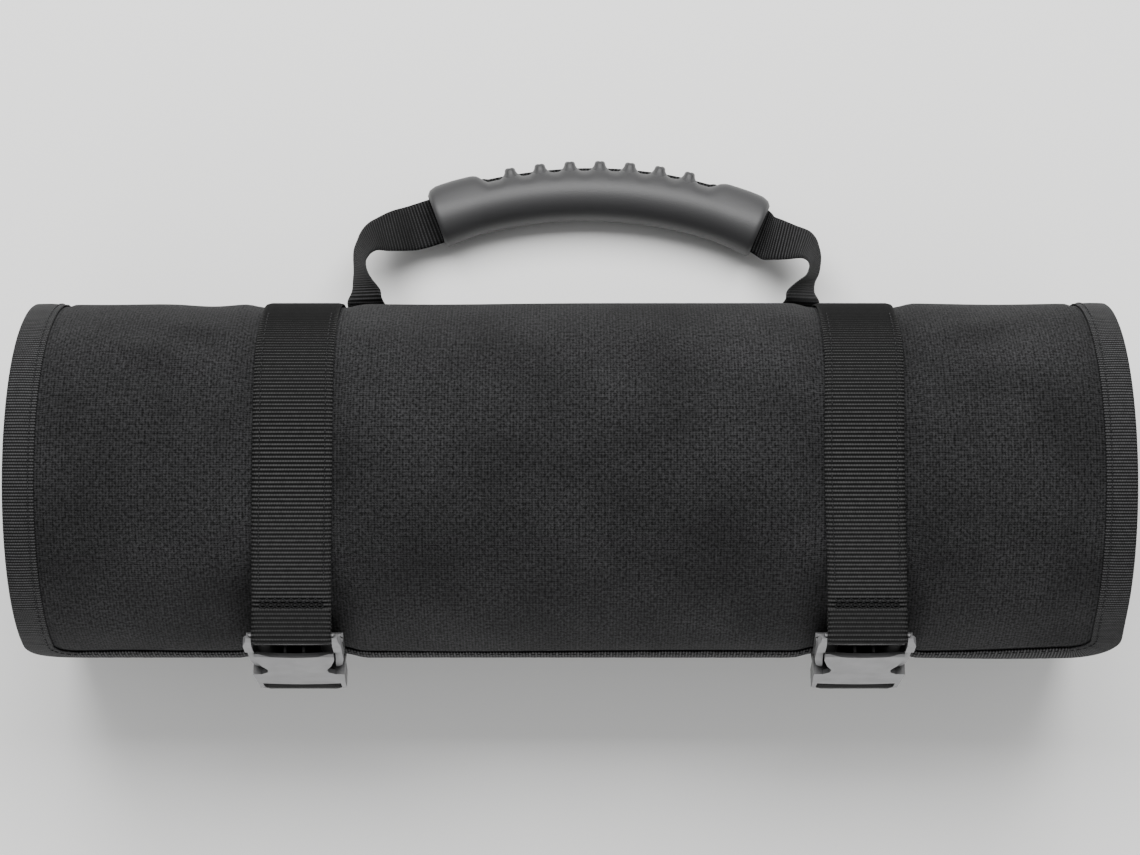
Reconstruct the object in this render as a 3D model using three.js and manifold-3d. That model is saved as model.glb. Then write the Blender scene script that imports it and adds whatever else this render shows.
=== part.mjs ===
// Tool roll bag, rolled up and lying on its back. A cloth panel with a tape-bound edge is wound
// into a spiral, two webbing straps with side-release buckles hold it shut, and a webbing handle
// with a moulded rubber grip lies beside it.
// Lengths are millimetres and angles are degrees. X runs along the roll, +Y points to the handle
// and +Z is up. The origin is on the floor, below the middle of the roll.
// An angle round the roll is measured from the top, growing towards the buckles on the -Y side.

import * as THREE from 'three';
import { mergeVertices } from 'three/addons/utils/BufferGeometryUtils.js';
import Module from 'manifold-3d';

// Roll of cloth
const rollLength = 538;
const rollRadius = 90;
const flatDepth = 3;
const panelThickness = 3;
const turnPitch = 7.5;
const turns = 2.3;
const flapAngle = 87;
const tuckStart = 290;
const innerCurl = 12;
const innerCurlSpan = 80;
const coarseStep = 20;
const fineStep = 10;
const middleShares = [0.25, 0.5, 0.75];
const flapRowShares = [0, 0.2, 0.6];

// Flap corners: both are round, and the right one is pulled back and stands off the roll
const cornerRadius = 24;
const cornerZone = 44;
const cornerPull = 20;
const cornerLift = 4;
const cornerCurlLength = 105;
const cornerCurlDepth = 60;
const cornerSteps = 4;

// Binding tape
const tapeWidth = 14;
const tapeThickness = 0.8;
const tapeGap = 0.5;
const tapeEase = 8;
const tapeInset = 2;

// Straps
const strapWidth = 38;
const strapThickness = 2;
const strapGap = 0.3;
const strapMargin = 1;
const strapReach = { left: -133.6, right: 142.6 };
const strapSway = { left: 1.5, right: -2.6 };
const strapSwaySpan = 48;
const pinchEase = 12;
const foldedEnd = 21;
const tuckedEnd = 18;
const loopSteps = 6;
const mitreLimit = 0.5;

// Buckles, with t along the buckle from the pronged half, n away from the roll and w across
const buckleAngle = 74.2;
const buckleWidth = 47;
const buckleThickness = 12.6;
const buckleTaperThickness = 9;
const buckleEndWidth = 43.4;
const buckleTaper = 1;
const buckleClearance = 0.6;
const buckleBevel = 1.2;
const maleStart = -46.7;
const femaleStart = -30.6;
const femaleEnd = 28;
const maleBarRadius = 1.7;
const maleBarPlace = -43;
const femaleBarRadius = 1.9;
const femaleBarPlace = 26;
const femaleBarRise = 1;
const slotStart = 15.8;
const slotBow = 2.2;
const lipHalf = 17;
const lipBow = 2.4;
const bowSteps = 4;
const slotClearance = 0.4;
const socketWall = 2.4;
const socketSideWall = 3.9;
const notchEnd = -2;
const notchDepth = 9;
const maleBodyStart = -36;
const maleBodyDepth = 3.2;
const maleBodyRise = 0.6;
const maleArmRise = 4.4;
const maleArmDepth = 0.2;
const maleNose = { setback: 1.8, taper: 2.6, corner: 2.4 };
const prongClearance = 0.4;
const prongRise = 2.6;
const tongueRise = -1.4;
const tongueRoot = 4;
const guideGap = 7;
const guideTip = { start: 5, end: 3, taper: 2 };
const guideRibWidth = 1.2;
const guideRibSpacing = 9;
const guideRibRise = 3.4;
const guideRibLength = 3;
const barSides = 10;
const cutOverlap = 1;

// Outline of a side notch. depth: share of notchDepth, place: share of its length from the front
const notchRows = [
  { depth: 0.48, place: 0 },
  { depth: 0.48, place: 0.23 },
  { depth: 0.72, place: 0.55 },
  { depth: 1, place: 0.76 },
  { depth: 0.95, place: 0.9 },
  { depth: 0.6, place: 1 },
];

// Outline of a prong. outer and inner: distance in from the buckle's side, place: as in notchRows
const prongRows = [
  { outer: 0, inner: 3.7, place: -0.04 },
  { outer: 0.6, inner: 3.9, place: 0.23 },
  { outer: 0.6, inner: 4.4, place: 0.58 },
  { outer: 1.8, inner: 5, place: 0.86 },
  { outer: 3.8, inner: 5, place: 0.96 },
];

// Handle webbing and grip
const handleWidth = 25;
const handleThickness = 1.8;
const handleRise = 79;
const footAngles = { start: -128, end: -112 };
const footClearance = 1.2;
const gripCentre = { x: 15.1, y: 145 };
const gripChord = 174;
const gripSagitta = 16.8;
const gripTilt = -1.8;
const gripWall = 1.5;
const gripWidth = handleWidth + 2 * gripWall;
const gripHeight = 26;
const gripEndFlare = 1.09;
const gripSlotGap = 0.35;
const sleeveLength = 26;
const sleeveRise = 3.4;
const sleeveEase = 4;
const sleeveMouthDepth = 8;
const sleeveMouthWidth = 0.93;
const sleeveMouthHeight = 0.7;
const knobCount = 7;
const knobPitch = 15.2;
const knobRadius = 2.9;
const knobHeight = 4.4;
const knobLength = 13;
const knobTip = { height: 1, share: 0.7 };
const knobSides = 8;
const gripSides = 16;
const gripSteps = 18;

// How the handle webbing goes from the roll to the grip, a row for each place along it.
// out: share of the way from the roll's side to the grip's end, measured along Y
// blend: share of the way from the strap's inner edge to the grip's end, measured along X
// bow: further sideways move, as a share of the webbing's width
// height: share of handleRise
// turn: how far the inner edge is turned up, in degrees
const handleRows = [
  { out: 0.155, blend: 0.225, bow: -0.03, height: 0.985, turn: 50 },
  { out: 0.263, blend: 0.257, bow: -0.165, height: 0.925, turn: 62 },
  { out: 0.37, blend: 0.38, bow: -0.44, height: 0.835, turn: 67 },
  { out: 0.459, blend: 0.414, bow: -0.54, height: 0.757, turn: 66 },
  { out: 0.559, blend: 0.445, bow: -0.61, height: 0.667, turn: 61 },
  { out: 0.641, blend: 0.487, bow: -0.64, height: 0.59, turn: 56 },
  { out: 0.713, blend: 0.518, bow: -0.64, height: 0.515, turn: 50 },
  { out: 0.786, blend: 0.529, bow: -0.54, height: 0.435, turn: 43 },
  { out: 0.836, blend: 0.44, bow: -0.19, height: 0.345, turn: 32 },
  { out: 0.88, blend: 0.43, bow: 0.1, height: 0.28, turn: 18 },
  { out: 0.922, blend: 0.58, bow: 0.17, height: 0.205, turn: 4 },
  { out: 0.965, blend: 0.83, bow: 0.04, height: 0.18, turn: 0 },
];
const handleSteps = 22;

// Shallow dents of the cloth, a row for each dent.
// along: place as a share of the roll's length, around: angle round the roll
// depth: share of the roll's radius, length: share of the roll's length, spread: degrees
const dentRows = [
  { along: -0.44, around: -62, depth: 0.02, length: 0.07, spread: 24 },
  { along: -0.335, around: -80, depth: 0.018, length: 0.03, spread: 22 },
  { along: -0.13, around: -70, depth: 0.01, length: 0.09, spread: 26 },
  { along: 0.12, around: 40, depth: 0.012, length: 0.12, spread: 20 },
  { along: 0.4, around: -60, depth: 0.018, length: 0.06, spread: 26 },
  { along: -0.38, around: 45, depth: 0.014, length: 0.07, spread: 20 },
];

const degree = Math.PI / 180;
const arcOfDegree = rollRadius * degree;
const axisHeight = rollRadius - flatDepth;
const halfLength = rollLength / 2;
const tapePress = tapeThickness + tapeGap;
const strapPress = strapThickness + strapGap;
const panelLength = turns * 360 * arcOfDegree;

const wasm = await Module();
wasm.setup();

const { lerp, smoothstep } = THREE.MathUtils;

// Materials, one for each mesh
function material(colour, roughness, metalness = 0) {
  return new THREE.MeshStandardMaterial({ color: colour, roughness, metalness });
}
const clothMaterial = () => material(0x262729, 0.9);
const tapeMaterial = () => material(0x2b2c2e, 0.85);
const webbingMaterial = () => material(0x232426, 0.8);
const buckleMaterial = () => material(0x9a9b9c, 0.45);
const gripMaterial = () => material(0x3a3b3c, 0.6);

// Closed bodies from lists of points
function signedVolume(points, faces) {
  let volume = 0;
  for (let k = 0; k < faces.length; k += 3) {
    const [a, b, c] = [points[faces[k]], points[faces[k + 1]], points[faces[k + 2]]];
    volume += a.dot(new THREE.Vector3().crossVectors(b, c)) / 6;
  }
  return volume;
}

function solidGeometry(points, faces) {
  if (signedVolume(points, faces) < 0) {
    faces.reverse();
  }
  const geometry = new THREE.BufferGeometry();
  geometry.setAttribute('position', new THREE.Float32BufferAttribute(points.flatMap((p) => p.toArray()), 3));
  geometry.setIndex(faces);
  geometry.computeVertexNormals();
  return geometry;
}

// A sheet with a thickness, from two grids of points, front[row][column] and back[row][column]
function closedSheet(front, back) {
  const rows = front.length;
  const columns = front[0].length;
  const points = [...front.flat(), ...back.flat()];
  const backStart = rows * columns;
  const faces = [];
  const quad = (a, b, c, d) => faces.push(a, b, c, a, c, d);
  for (let i = 0; i + 1 < rows; i += 1) {
    for (let j = 0; j + 1 < columns; j += 1) {
      const a = i * columns + j;
      quad(a, a + columns, a + columns + 1, a + 1);
      quad(backStart + a, backStart + a + 1, backStart + a + columns + 1, backStart + a + columns);
    }
  }
  const border = [];
  for (let i = 0; i + 1 < rows; i += 1) {
    border.push(i * columns);
  }
  for (let j = 0; j + 1 < columns; j += 1) {
    border.push((rows - 1) * columns + j);
  }
  for (let i = rows - 1; i > 0; i -= 1) {
    border.push(i * columns + columns - 1);
  }
  for (let j = columns - 1; j > 0; j -= 1) {
    border.push(j);
  }
  border.forEach((a, k) => {
    const b = border[(k + 1) % border.length];
    quad(b, a, backStart + a, backStart + b);
  });
  return solidGeometry(points, faces);
}

// A skin over convex rings of points, closed by a fan at each end
function skin(rings) {
  const sides = rings[0].length;
  const faces = [];
  for (let i = 0; i + 1 < rings.length; i += 1) {
    for (let j = 0; j < sides; j += 1) {
      const next = (j + 1) % sides;
      const a = i * sides;
      faces.push(a + j, a + next, a + sides + next, a + j, a + sides + next, a + sides + j);
    }
  }
  const last = (rings.length - 1) * sides;
  for (let j = 1; j + 1 < sides; j += 1) {
    faces.push(0, j + 1, j, last, last + j, last + j + 1);
  }
  return solidGeometry(rings.flat(), faces);
}

// Joins and cuts
function toSolid(geometry) {
  const bare = geometry.clone();
  bare.deleteAttribute('normal');
  bare.deleteAttribute('uv');
  const merged = mergeVertices(bare, 1e-4);
  return new wasm.Manifold(new wasm.Mesh({
    numProp: 3,
    vertProperties: new Float32Array(merged.attributes.position.array),
    triVerts: new Uint32Array(merged.index.array),
  }));
}

function fromSolid(solid) {
  const mesh = solid.getMesh();
  const geometry = new THREE.BufferGeometry();
  geometry.setAttribute('position', new THREE.BufferAttribute(new Float32Array(mesh.vertProperties), 3));
  geometry.setIndex(Array.from(mesh.triVerts));
  geometry.computeVertexNormals();
  return geometry;
}

// Shape of the roll: s is the distance from the flap's edge, measured along the outer turn
function turnRadius(angleFromFlap) {
  const turn = Math.floor(angleFromFlap / 360);
  const tuck = smoothstep(angleFromFlap - turn * 360, tuckStart, 360);
  const curl = innerCurl * smoothstep(angleFromFlap, turns * 360 - innerCurlSpan, turns * 360);
  return rollRadius - turnPitch * (turn + tuck) - curl;
}

function strapCentre(side, angle) {
  const nearTop = 1 - smoothstep(Math.abs(wrappedAngle(angle)), 0, strapSwaySpan);
  return strapReach[side] + strapSway[side] * nearTop;
}

// How much of a strap's pressure reaches a place: 1 below the strap, fading to 0 beside it
function pinchShare(x, angle) {
  const half = strapWidth / 2 + strapMargin;
  const shares = ['left', 'right'].map((side) => {
    const away = Math.abs(x - strapCentre(side, angle));
    return 1 - smoothstep(away, half, half + pinchEase);
  });
  return Math.max(...shares);
}

function wrappedAngle(angle) {
  return ((angle + 180) % 360 + 360) % 360 - 180;
}

function dentDepth(x, angle) {
  let depth = 0;
  for (const dent of dentRows) {
    const along = (x - dent.along * rollLength) / (dent.length * rollLength);
    const around = wrappedAngle(angle - dent.around) / dent.spread;
    depth += dent.depth * rollRadius * Math.exp(-along * along - around * around);
  }
  return depth;
}

function rollPoint(x, s, height) {
  const curled = smoothstep(x, halfLength - cornerCurlLength, halfLength);
  const atEdge = 1 - smoothstep(s, 0, cornerCurlDepth);
  const angleFromFlap = (s + cornerPull * curled * atEdge) / arcOfDegree;
  const angle = wrappedAngle(flapAngle - angleFromFlap);
  const pinch = pinchShare(x, angle);
  const radius = turnRadius(angleFromFlap) + height + cornerLift * curled * atEdge
    - pinch * strapPress - (1 - pinch) * dentDepth(x, angle);
  const across = -radius * Math.sin(angle * degree);
  const above = Math.max(radius * Math.cos(angle * degree), flatDepth - radius);
  return new THREE.Vector3(x, across, axisHeight + above);
}

// Distances from the flap's edge at which the panel, the tape and the straps have their rows
function rowPlaces() {
  const inset = tapeWidth + tapeInset;
  const places = [...flapRowShares.map((share) => share * tapeWidth), inset, inset + tapeEase];
  let angle = Math.ceil(places.at(-1) / arcOfDegree / fineStep) * fineStep + fineStep / 2;
  while (angle < turns * 360) {
    places.push(angle * arcOfDegree);
    angle += angle < 360 ? fineStep : coarseStep;
  }
  if (panelLength - places.at(-1) < tapeWidth) {
    places.pop();
  }
  places.push(panelLength);
  return places;
}

// Half-length of the panel at a distance from the flap's edge, with its corners rounded
function endOfRow(s) {
  const into = Math.max(0, cornerRadius - s);
  return halfLength - cornerRadius + Math.sqrt(cornerRadius ** 2 - into ** 2);
}

function edgeDistance(x, s) {
  const alongEnd = halfLength - Math.abs(x);
  if (alongEnd < cornerRadius && s < cornerRadius) {
    return cornerRadius - Math.hypot(cornerRadius - alongEnd, cornerRadius - s);
  }
  return Math.min(alongEnd, s);
}

// Columns of the panel: two sets follow the straps, the others stand at fixed places
function columnPlaces(s) {
  const angle = wrappedAngle(flapAngle - s / arcOfDegree);
  const half = strapWidth / 2 + strapMargin;
  const inset = tapeWidth + tapeInset;
  const strapColumns = (side) => [-half - pinchEase, -half, half, half + pinchEase]
    .map((offset) => strapCentre(side, angle) + offset);
  const leftEdge = strapReach.left + half + pinchEase;
  const rightEdge = strapReach.right - half - pinchEase;
  const middle = middleShares.map((share) => lerp(leftEdge, rightEdge, share));
  const ends = [halfLength, halfLength - inset, halfLength - inset - tapeEase];
  const outerLeft = (-halfLength + cornerZone + strapReach.left - half) / 2;
  const outerRight = (halfLength - cornerZone + strapReach.right + half) / 2;
  const columns = [
    ...ends.map((x) => -x), -halfLength + cornerZone, outerLeft - pinchEase,
    ...strapColumns('left'), ...middle, ...strapColumns('right'),
    outerRight + pinchEase, halfLength - cornerZone, ...ends.reverse(),
  ];
  const zoneStart = halfLength - cornerZone;
  return columns.map((x) => {
    const beyond = Math.max(0, Math.abs(x) - zoneStart);
    const squeezed = beyond * (endOfRow(s) - zoneStart) / cornerZone;
    return Math.sign(x) * (Math.min(Math.abs(x), zoneStart) + squeezed);
  });
}

const rows = rowPlaces();

function rollPanel() {
  const front = [];
  const back = [];
  const inset = tapeWidth + tapeInset;
  for (const s of rows) {
    const columns = columnPlaces(s);
    front.push(columns.map((x) => {
      const press = tapePress * (1 - smoothstep(edgeDistance(x, s), inset, inset + tapeEase));
      return rollPoint(x, s, -press);
    }));
    back.push(columns.map((x) => rollPoint(x, s, -panelThickness)));
  }
  return closedSheet(front, back);
}

// Binding tape folded over the edge, from the inner end of the roll's left side, round the flap
// and back along the right side
function edgeBinding() {
  const stations = [];
  const sideRows = rows.filter((s) => s >= cornerRadius);
  for (const s of [...sideRows].reverse()) {
    stations.push({ x: -halfLength, s, inward: [1, 0] });
  }
  const corner = (sign, step) => {
    const turn = step / (cornerSteps + 1) * Math.PI / 2;
    const [across, along] = [Math.cos(turn), Math.sin(turn)];
    stations.push({
      x: sign * (halfLength - cornerRadius + cornerRadius * across),
      s: cornerRadius - cornerRadius * along,
      inward: [-sign * across, along],
    });
  };
  for (let step = 0; step <= cornerSteps + 1; step += 1) {
    corner(-1, step);
  }
  for (const x of columnPlaces(cornerRadius)) {
    if (Math.abs(x) < halfLength - cornerRadius - tapeInset) {
      stations.push({ x, s: 0, inward: [0, 1] });
    }
  }
  for (let step = cornerSteps + 1; step >= 0; step -= 1) {
    corner(1, step);
  }
  for (const s of sideRows) {
    stations.push({ x: halfLength, s, inward: [-1, 0] });
  }
  const point = (station, inset, height) => {
    const [alongX, alongS] = station.inward;
    return rollPoint(station.x + alongX * inset, station.s + alongS * inset, height);
  };
  const underside = -panelThickness - tapeGap;
  const front = [];
  const back = [];
  for (const station of stations) {
    front.push([
      point(station, tapeWidth, 0),
      point(station, -tapePress, 0),
      point(station, -tapePress, underside - tapeThickness),
      point(station, tapeWidth, underside - tapeThickness),
    ]);
    back.push([
      point(station, tapeWidth, -tapeThickness),
      point(station, -tapeGap, -tapeThickness),
      point(station, -tapeGap, underside),
      point(station, tapeWidth, underside),
    ]);
  }
  return closedSheet(front, back);
}

// Places on the buckle in the roll's own YZ plane
const buckleCentre = rollRadius + buckleClearance + buckleThickness / 2;
const alongBuckle = new THREE.Vector2(-Math.cos(buckleAngle * degree), -Math.sin(buckleAngle * degree));
const outOfBuckle = new THREE.Vector2(-Math.sin(buckleAngle * degree), Math.cos(buckleAngle * degree));

function buckleFlat(t, n) {
  return new THREE.Vector2(0, axisHeight)
    .addScaledVector(outOfBuckle, buckleCentre + n)
    .addScaledVector(alongBuckle, t);
}

// Outline of a set of flat points, as a taut band round them, starting at a given point
function tautBand(points) {
  const sorted = [...points].sort((a, b) => a.x - b.x || a.y - b.y);
  const turnOf = (a, b, c) => (b.x - a.x) * (c.y - a.y) - (b.y - a.y) * (c.x - a.x);
  const halfBand = (list) => {
    const band = [];
    for (const point of list) {
      while (band.length > 1 && turnOf(band.at(-2), band.at(-1), point) <= 1e-6) {
        band.pop();
      }
      band.push(point);
    }
    band.pop();
    return band;
  };
  return [...halfBand(sorted), ...halfBand(sorted.reverse())];
}

function perpendicular(vector) {
  return new THREE.Vector2(-vector.y, vector.x);
}

function arcPoints(centre, radius, startDirection, turn, steps) {
  const startAngle = startDirection.angle();
  return Array.from({ length: steps + 1 }, (_, k) => {
    const angle = startAngle + turn * k / steps;
    return new THREE.Vector2(centre.x + radius * Math.cos(angle), centre.y + radius * Math.sin(angle));
  });
}

// Angle round the roll of a point in the YZ plane
function angleOfPoint(point) {
  return Math.atan2(-point.x, point.y - axisHeight) / degree;
}

// Middle line of a strap: folded end, loop round the male bar, taut round the roll, loop round
// the female bar, tucked end
function strapLine(side) {
  const half = strapThickness / 2;
  const maleBar = buckleFlat(maleBarPlace, 0);
  const femaleBar = buckleFlat(femaleBarPlace, femaleBarRise);
  const maleLoop = maleBarRadius + strapGap + half;
  const femaleLoop = femaleBarRadius + strapGap + half;
  const around = [];
  for (const s of rows) {
    const angle = flapAngle - s / arcOfDegree;
    if (angle > flapAngle - 360) {
      const point = rollPoint(strapCentre(side, angle), s, strapGap + half);
      around.push(new THREE.Vector2(point.y, point.z));
    }
  }
  const leaving = maleBar.clone().sub(tangentPoint(around, maleBar)).normalize();
  const below = perpendicular(leaving);
  const start = maleBar.clone().addScaledVector(below, maleLoop);
  const femaleCircle = arcPoints(femaleBar, femaleLoop, outOfBuckle, 2 * Math.PI, barSides).slice(1);
  const band = tautBand([...around, start, ...femaleCircle]);
  const first = band.indexOf(start);
  const ordered = [...band.slice(first), ...band.slice(0, first)];
  const reach = femaleLoop + strapGap;
  if (ordered[1].distanceTo(femaleBar) < reach) {
    ordered.push(ordered.shift());
    ordered.reverse();
  }
  const main = ordered.filter((point) => point.distanceTo(femaleBar) > reach);
  const folded = strapThickness + strapGap;
  const firstLoop = arcPoints(maleBar, maleLoop, below.clone().negate(), Math.PI, loopSteps).slice(0, -1);
  const tail = [
    start.clone().addScaledVector(below, -folded).addScaledVector(leaving, -foldedEnd),
    start.clone().addScaledVector(below, -folded).addScaledVector(leaving, -foldedEnd / 2),
  ];
  const arriving = femaleBar.clone().sub(main.at(-1)).normalize();
  const outward = perpendicular(arriving);
  const lastLoop = arcPoints(femaleBar, femaleLoop, outward, -Math.PI, loopSteps);
  const outer = femaleBar.clone().addScaledVector(outward, femaleLoop);
  const tucked = [
    outer.clone().addScaledVector(outward, -folded).addScaledVector(arriving, -tuckedEnd / 2),
    outer.clone().addScaledVector(outward, -folded).addScaledVector(arriving, -tuckedEnd),
  ];
  return [...tail, ...firstLoop, ...main, ...lastLoop, ...tucked];
}

// The point of a closed row of points that a straight band from an outside point touches
function tangentPoint(points, from) {
  const upper = points.filter((point) => point.y > axisHeight);
  return upper.reduce((best, point) => {
    const lean = (p) => Math.atan2(p.y - from.y, p.x - from.x);
    return lean(point) > lean(best) ? point : best;
  });
}

// A ribbon with a thickness along a flat line in the YZ plane
function flatRibbon(line, thickness, centreAt, width) {
  const front = [];
  const back = [];
  line.forEach((point, k) => {
    const before = line[Math.max(0, k - 1)];
    const after = line[Math.min(line.length - 1, k + 1)];
    const arriving = k > 0 ? point.clone().sub(before).normalize() : after.clone().sub(point).normalize();
    const leaving = k + 1 < line.length ? after.clone().sub(point).normalize() : arriving;
    const middle = arriving.clone().add(leaving).normalize();
    const mitre = Math.max(mitreLimit, middle.dot(leaving));
    const offset = perpendicular(middle).multiplyScalar(thickness / 2 / mitre);
    const centre = centreAt(point);
    const pair = (flat) => [-width / 2, width / 2]
      .map((side) => new THREE.Vector3(centre + side, flat.x, flat.y));
    front.push(pair(point.clone().add(offset)));
    back.push(pair(point.clone().sub(offset)));
  });
  return closedSheet(front, back);
}

function strap(side) {
  const centreAt = (point) => strapCentre(side, angleOfPoint(point));
  return flatRibbon(strapLine(side), strapThickness, centreAt, strapWidth);
}

// Prisms in the buckle's own axes: x is w, across, y is n, away from the roll, z is t, along
function prism(outline, low, high, place) {
  const shape = new THREE.Shape(outline.map(([a, b]) => new THREE.Vector2(a, b)));
  const geometry = new THREE.ExtrudeGeometry(shape, { depth: high - low, bevelEnabled: false });
  geometry.deleteAttribute('normal');
  geometry.deleteAttribute('uv');
  const merged = mergeVertices(geometry, 1e-4);
  const source = merged.attributes.position;
  const points = [];
  for (let k = 0; k < source.count; k += 1) {
    points.push(place(source.getX(k), source.getY(k), source.getZ(k) + low));
  }
  return solidGeometry(points, Array.from(merged.index.array));
}

const planPrism = (outline, low, high) => prism(outline, low, high, (w, t, n) => new THREE.Vector3(w, n, t));
const sidePrism = (outline, low, high) => prism(outline, low, high, (t, n, w) => new THREE.Vector3(w, n, t));

function mirrored(halfOutline) {
  return [...halfOutline, ...[...halfOutline].reverse().map(([a, b]) => [-a, b])];
}

// Points of an edge that bows towards the female half's end, from -half to half
function bowed(half, place, bow) {
  return Array.from({ length: bowSteps + 1 }, (_, k) => {
    const share = 2 * k / bowSteps - 1;
    return [half * share, place + bow * (1 - share ** 2)];
  });
}

function slab(wLow, wHigh, nLow, nHigh, tLow, tHigh) {
  return toSolid(planPrism([[wLow, tLow], [wHigh, tLow], [wHigh, tHigh], [wLow, tHigh]], nLow, nHigh));
}

function crossBar(radius, t, n, halfWidth) {
  const outline = Array.from({ length: barSides }, (_, k) => {
    const angle = 2 * Math.PI * (k + 0.5) / barSides;
    return [t + radius * Math.cos(angle), n + radius * Math.sin(angle)];
  });
  return toSolid(sidePrism(outline, -halfWidth, halfWidth));
}

const windowHalf = strapWidth / 2 + slotClearance;
const socketHalf = buckleWidth / 2 - socketSideWall;
const socketRise = buckleThickness / 2 - socketWall;

function femaleHalf() {
  const half = buckleWidth / 2;
  const endHalf = buckleEndWidth / 2;
  const bevel = buckleBevel;
  const plan = mirrored([
    [half - bevel, femaleStart], [half, femaleStart + bevel], [half - buckleTaper, notchEnd],
    [endHalf, slotStart], [endHalf, femaleEnd - 2 * bevel],
    [endHalf - 2 * bevel, femaleEnd],
  ]);
  const full = buckleThickness / 2;
  const thin = buckleTaperThickness / 2;
  const side = mirrored([
    [full - bevel, femaleStart], [full, femaleStart + bevel], [full, notchEnd],
    [thin + femaleBarRise, slotStart], [thin, femaleEnd - bevel], [thin - bevel, femaleEnd],
  ]).map(([n, t]) => [t, n]);
  let body = toSolid(planPrism(plan, -full, full)).intersect(toSolid(sidePrism(side, -half, half)));
  body = body.subtract(slab(
    -socketHalf, socketHalf, -socketRise, socketRise, femaleStart - cutOverlap, notchEnd,
  ));
  for (const sign of [-1, 1]) {
    const notch = [
      [sign * (half + cutOverlap), femaleStart - cutOverlap],
      [sign * (half - notchDepth * notchRows[0].depth), femaleStart - cutOverlap],
      ...notchRows.map((row) => [
        sign * (half - notchDepth * row.depth),
        lerp(femaleStart, notchEnd, row.place),
      ]),
      [sign * (half + cutOverlap), notchEnd],
    ];
    body = body.subtract(toSolid(planPrism(notch, -socketRise, full + cutOverlap)));
  }
  const window = [
    ...bowed(windowHalf, slotStart, slotBow),
    [windowHalf, femaleEnd + cutOverlap],
    [-windowHalf, femaleEnd + cutOverlap],
  ];
  body = body.subtract(toSolid(planPrism(window, -full - cutOverlap, full + cutOverlap)));
  const lip = [
    ...bowed(lipHalf, femaleStart, lipBow),
    [lipHalf, femaleStart - cutOverlap],
    [-lipHalf, femaleStart - cutOverlap],
  ];
  body = body.subtract(toSolid(planPrism(lip, socketRise - cutOverlap, full + cutOverlap)));
  const barHalf = (windowHalf + endHalf) / 2;
  return fromSolid(body.add(crossBar(femaleBarRadius, femaleBarPlace, femaleBarRise, barHalf)));
}

function maleHalf() {
  const half = buckleWidth / 2;
  const bodyEnd = femaleStart - prongClearance;
  const tongueHalf = socketHalf - prongClearance;
  const noseStart = maleStart + maleNose.setback;
  const frame = mirrored([
    [windowHalf + maleNose.corner, noseStart], [half - maleNose.corner / 2, maleBarPlace],
    [half, maleBarPlace + maleNose.corner], [half, bodyEnd],
  ]);
  const side = [
    [noseStart, maleArmRise - maleNose.taper], [maleBarPlace, -maleArmDepth], [maleBodyStart, -maleArmDepth],
    [maleBodyStart, -maleBodyDepth], [bodyEnd, -maleBodyDepth], [bodyEnd, maleArmRise],
    [maleBarPlace + maleNose.taper, maleArmRise], [maleBarPlace, maleArmRise - buckleBevel],
  ];
  const above = maleArmRise + cutOverlap;
  const below = maleBodyDepth + cutOverlap;
  const before = maleStart - cutOverlap;
  let body = toSolid(planPrism(frame, -maleBodyDepth, maleArmRise));
  body = body.intersect(toSolid(sidePrism(side, -half, half)));
  body = body.subtract(slab(-windowHalf, windowHalf, -below, above, before, maleBodyStart));
  body = body.subtract(slab(-windowHalf, windowHalf, maleBodyRise, above, before, 0));
  body = body.subtract(slab(windowHalf, half + cutOverlap, -below, -maleArmDepth, before, 0));
  body = body.subtract(slab(-half - cutOverlap, -windowHalf, -below, -maleArmDepth, before, 0));
  const barHalf = (windowHalf + half - maleNose.corner) / 2;
  body = body.add(crossBar(maleBarRadius, maleBarPlace, 0, barHalf));
  for (const sign of [-1, 1]) {
    const along = (row) => lerp(femaleStart, notchEnd, row.place);
    const outer = prongRows.map((row) => [sign * (half - row.outer), along(row)]);
    const inner = prongRows.map((row) => [sign * (half - row.inner), along(row)]);
    body = body.add(toSolid(planPrism([...outer, ...inner.reverse()], -prongRise, prongRise)));
  }
  const guideHalf = tongueHalf - guideGap;
  const tongue = mirrored([
    [tongueHalf, bodyEnd - cutOverlap], [tongueHalf, bodyEnd + tongueRoot],
    [guideHalf, bodyEnd + tongueRoot], [guideHalf, notchEnd - guideTip.start],
    [guideHalf - guideTip.taper, notchEnd - guideTip.end],
  ]);
  body = body.add(toSolid(planPrism(tongue, prongClearance - socketRise, tongueRise)));
  for (const sign of [-1, 1]) {
    const centre = sign * guideRibSpacing / 2;
    const low = centre - guideRibWidth / 2;
    const high = centre + guideRibWidth / 2;
    const start = femaleStart + lipBow;
    const base = prongClearance - socketRise;
    body = body.add(slab(low, high, base, guideRibRise, start, start + guideRibLength));
  }
  return fromSolid(body);
}

// Middle line of the grip: an arc in the XY plane, followed by its share from the left end
const gripRadius = gripChord ** 2 / (8 * gripSagitta) + gripSagitta / 2;
const gripHalfAngle = Math.asin(gripChord / 2 / gripRadius);
const gripRest = gripHeight * gripEndFlare / 2;

function gripPoint(share, outward, upward) {
  const angle = (2 * share - 1) * gripHalfAngle;
  const radius = gripRadius + outward;
  const local = new THREE.Vector2(
    radius * Math.sin(angle),
    radius * Math.cos(angle) - gripRadius + gripSagitta,
  ).rotateAround(new THREE.Vector2(), gripTilt * degree);
  return new THREE.Vector3(gripCentre.x + local.x, gripCentre.y + local.y, gripRest + upward);
}

const gripLength = 2 * gripHalfAngle * gripRadius;

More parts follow.
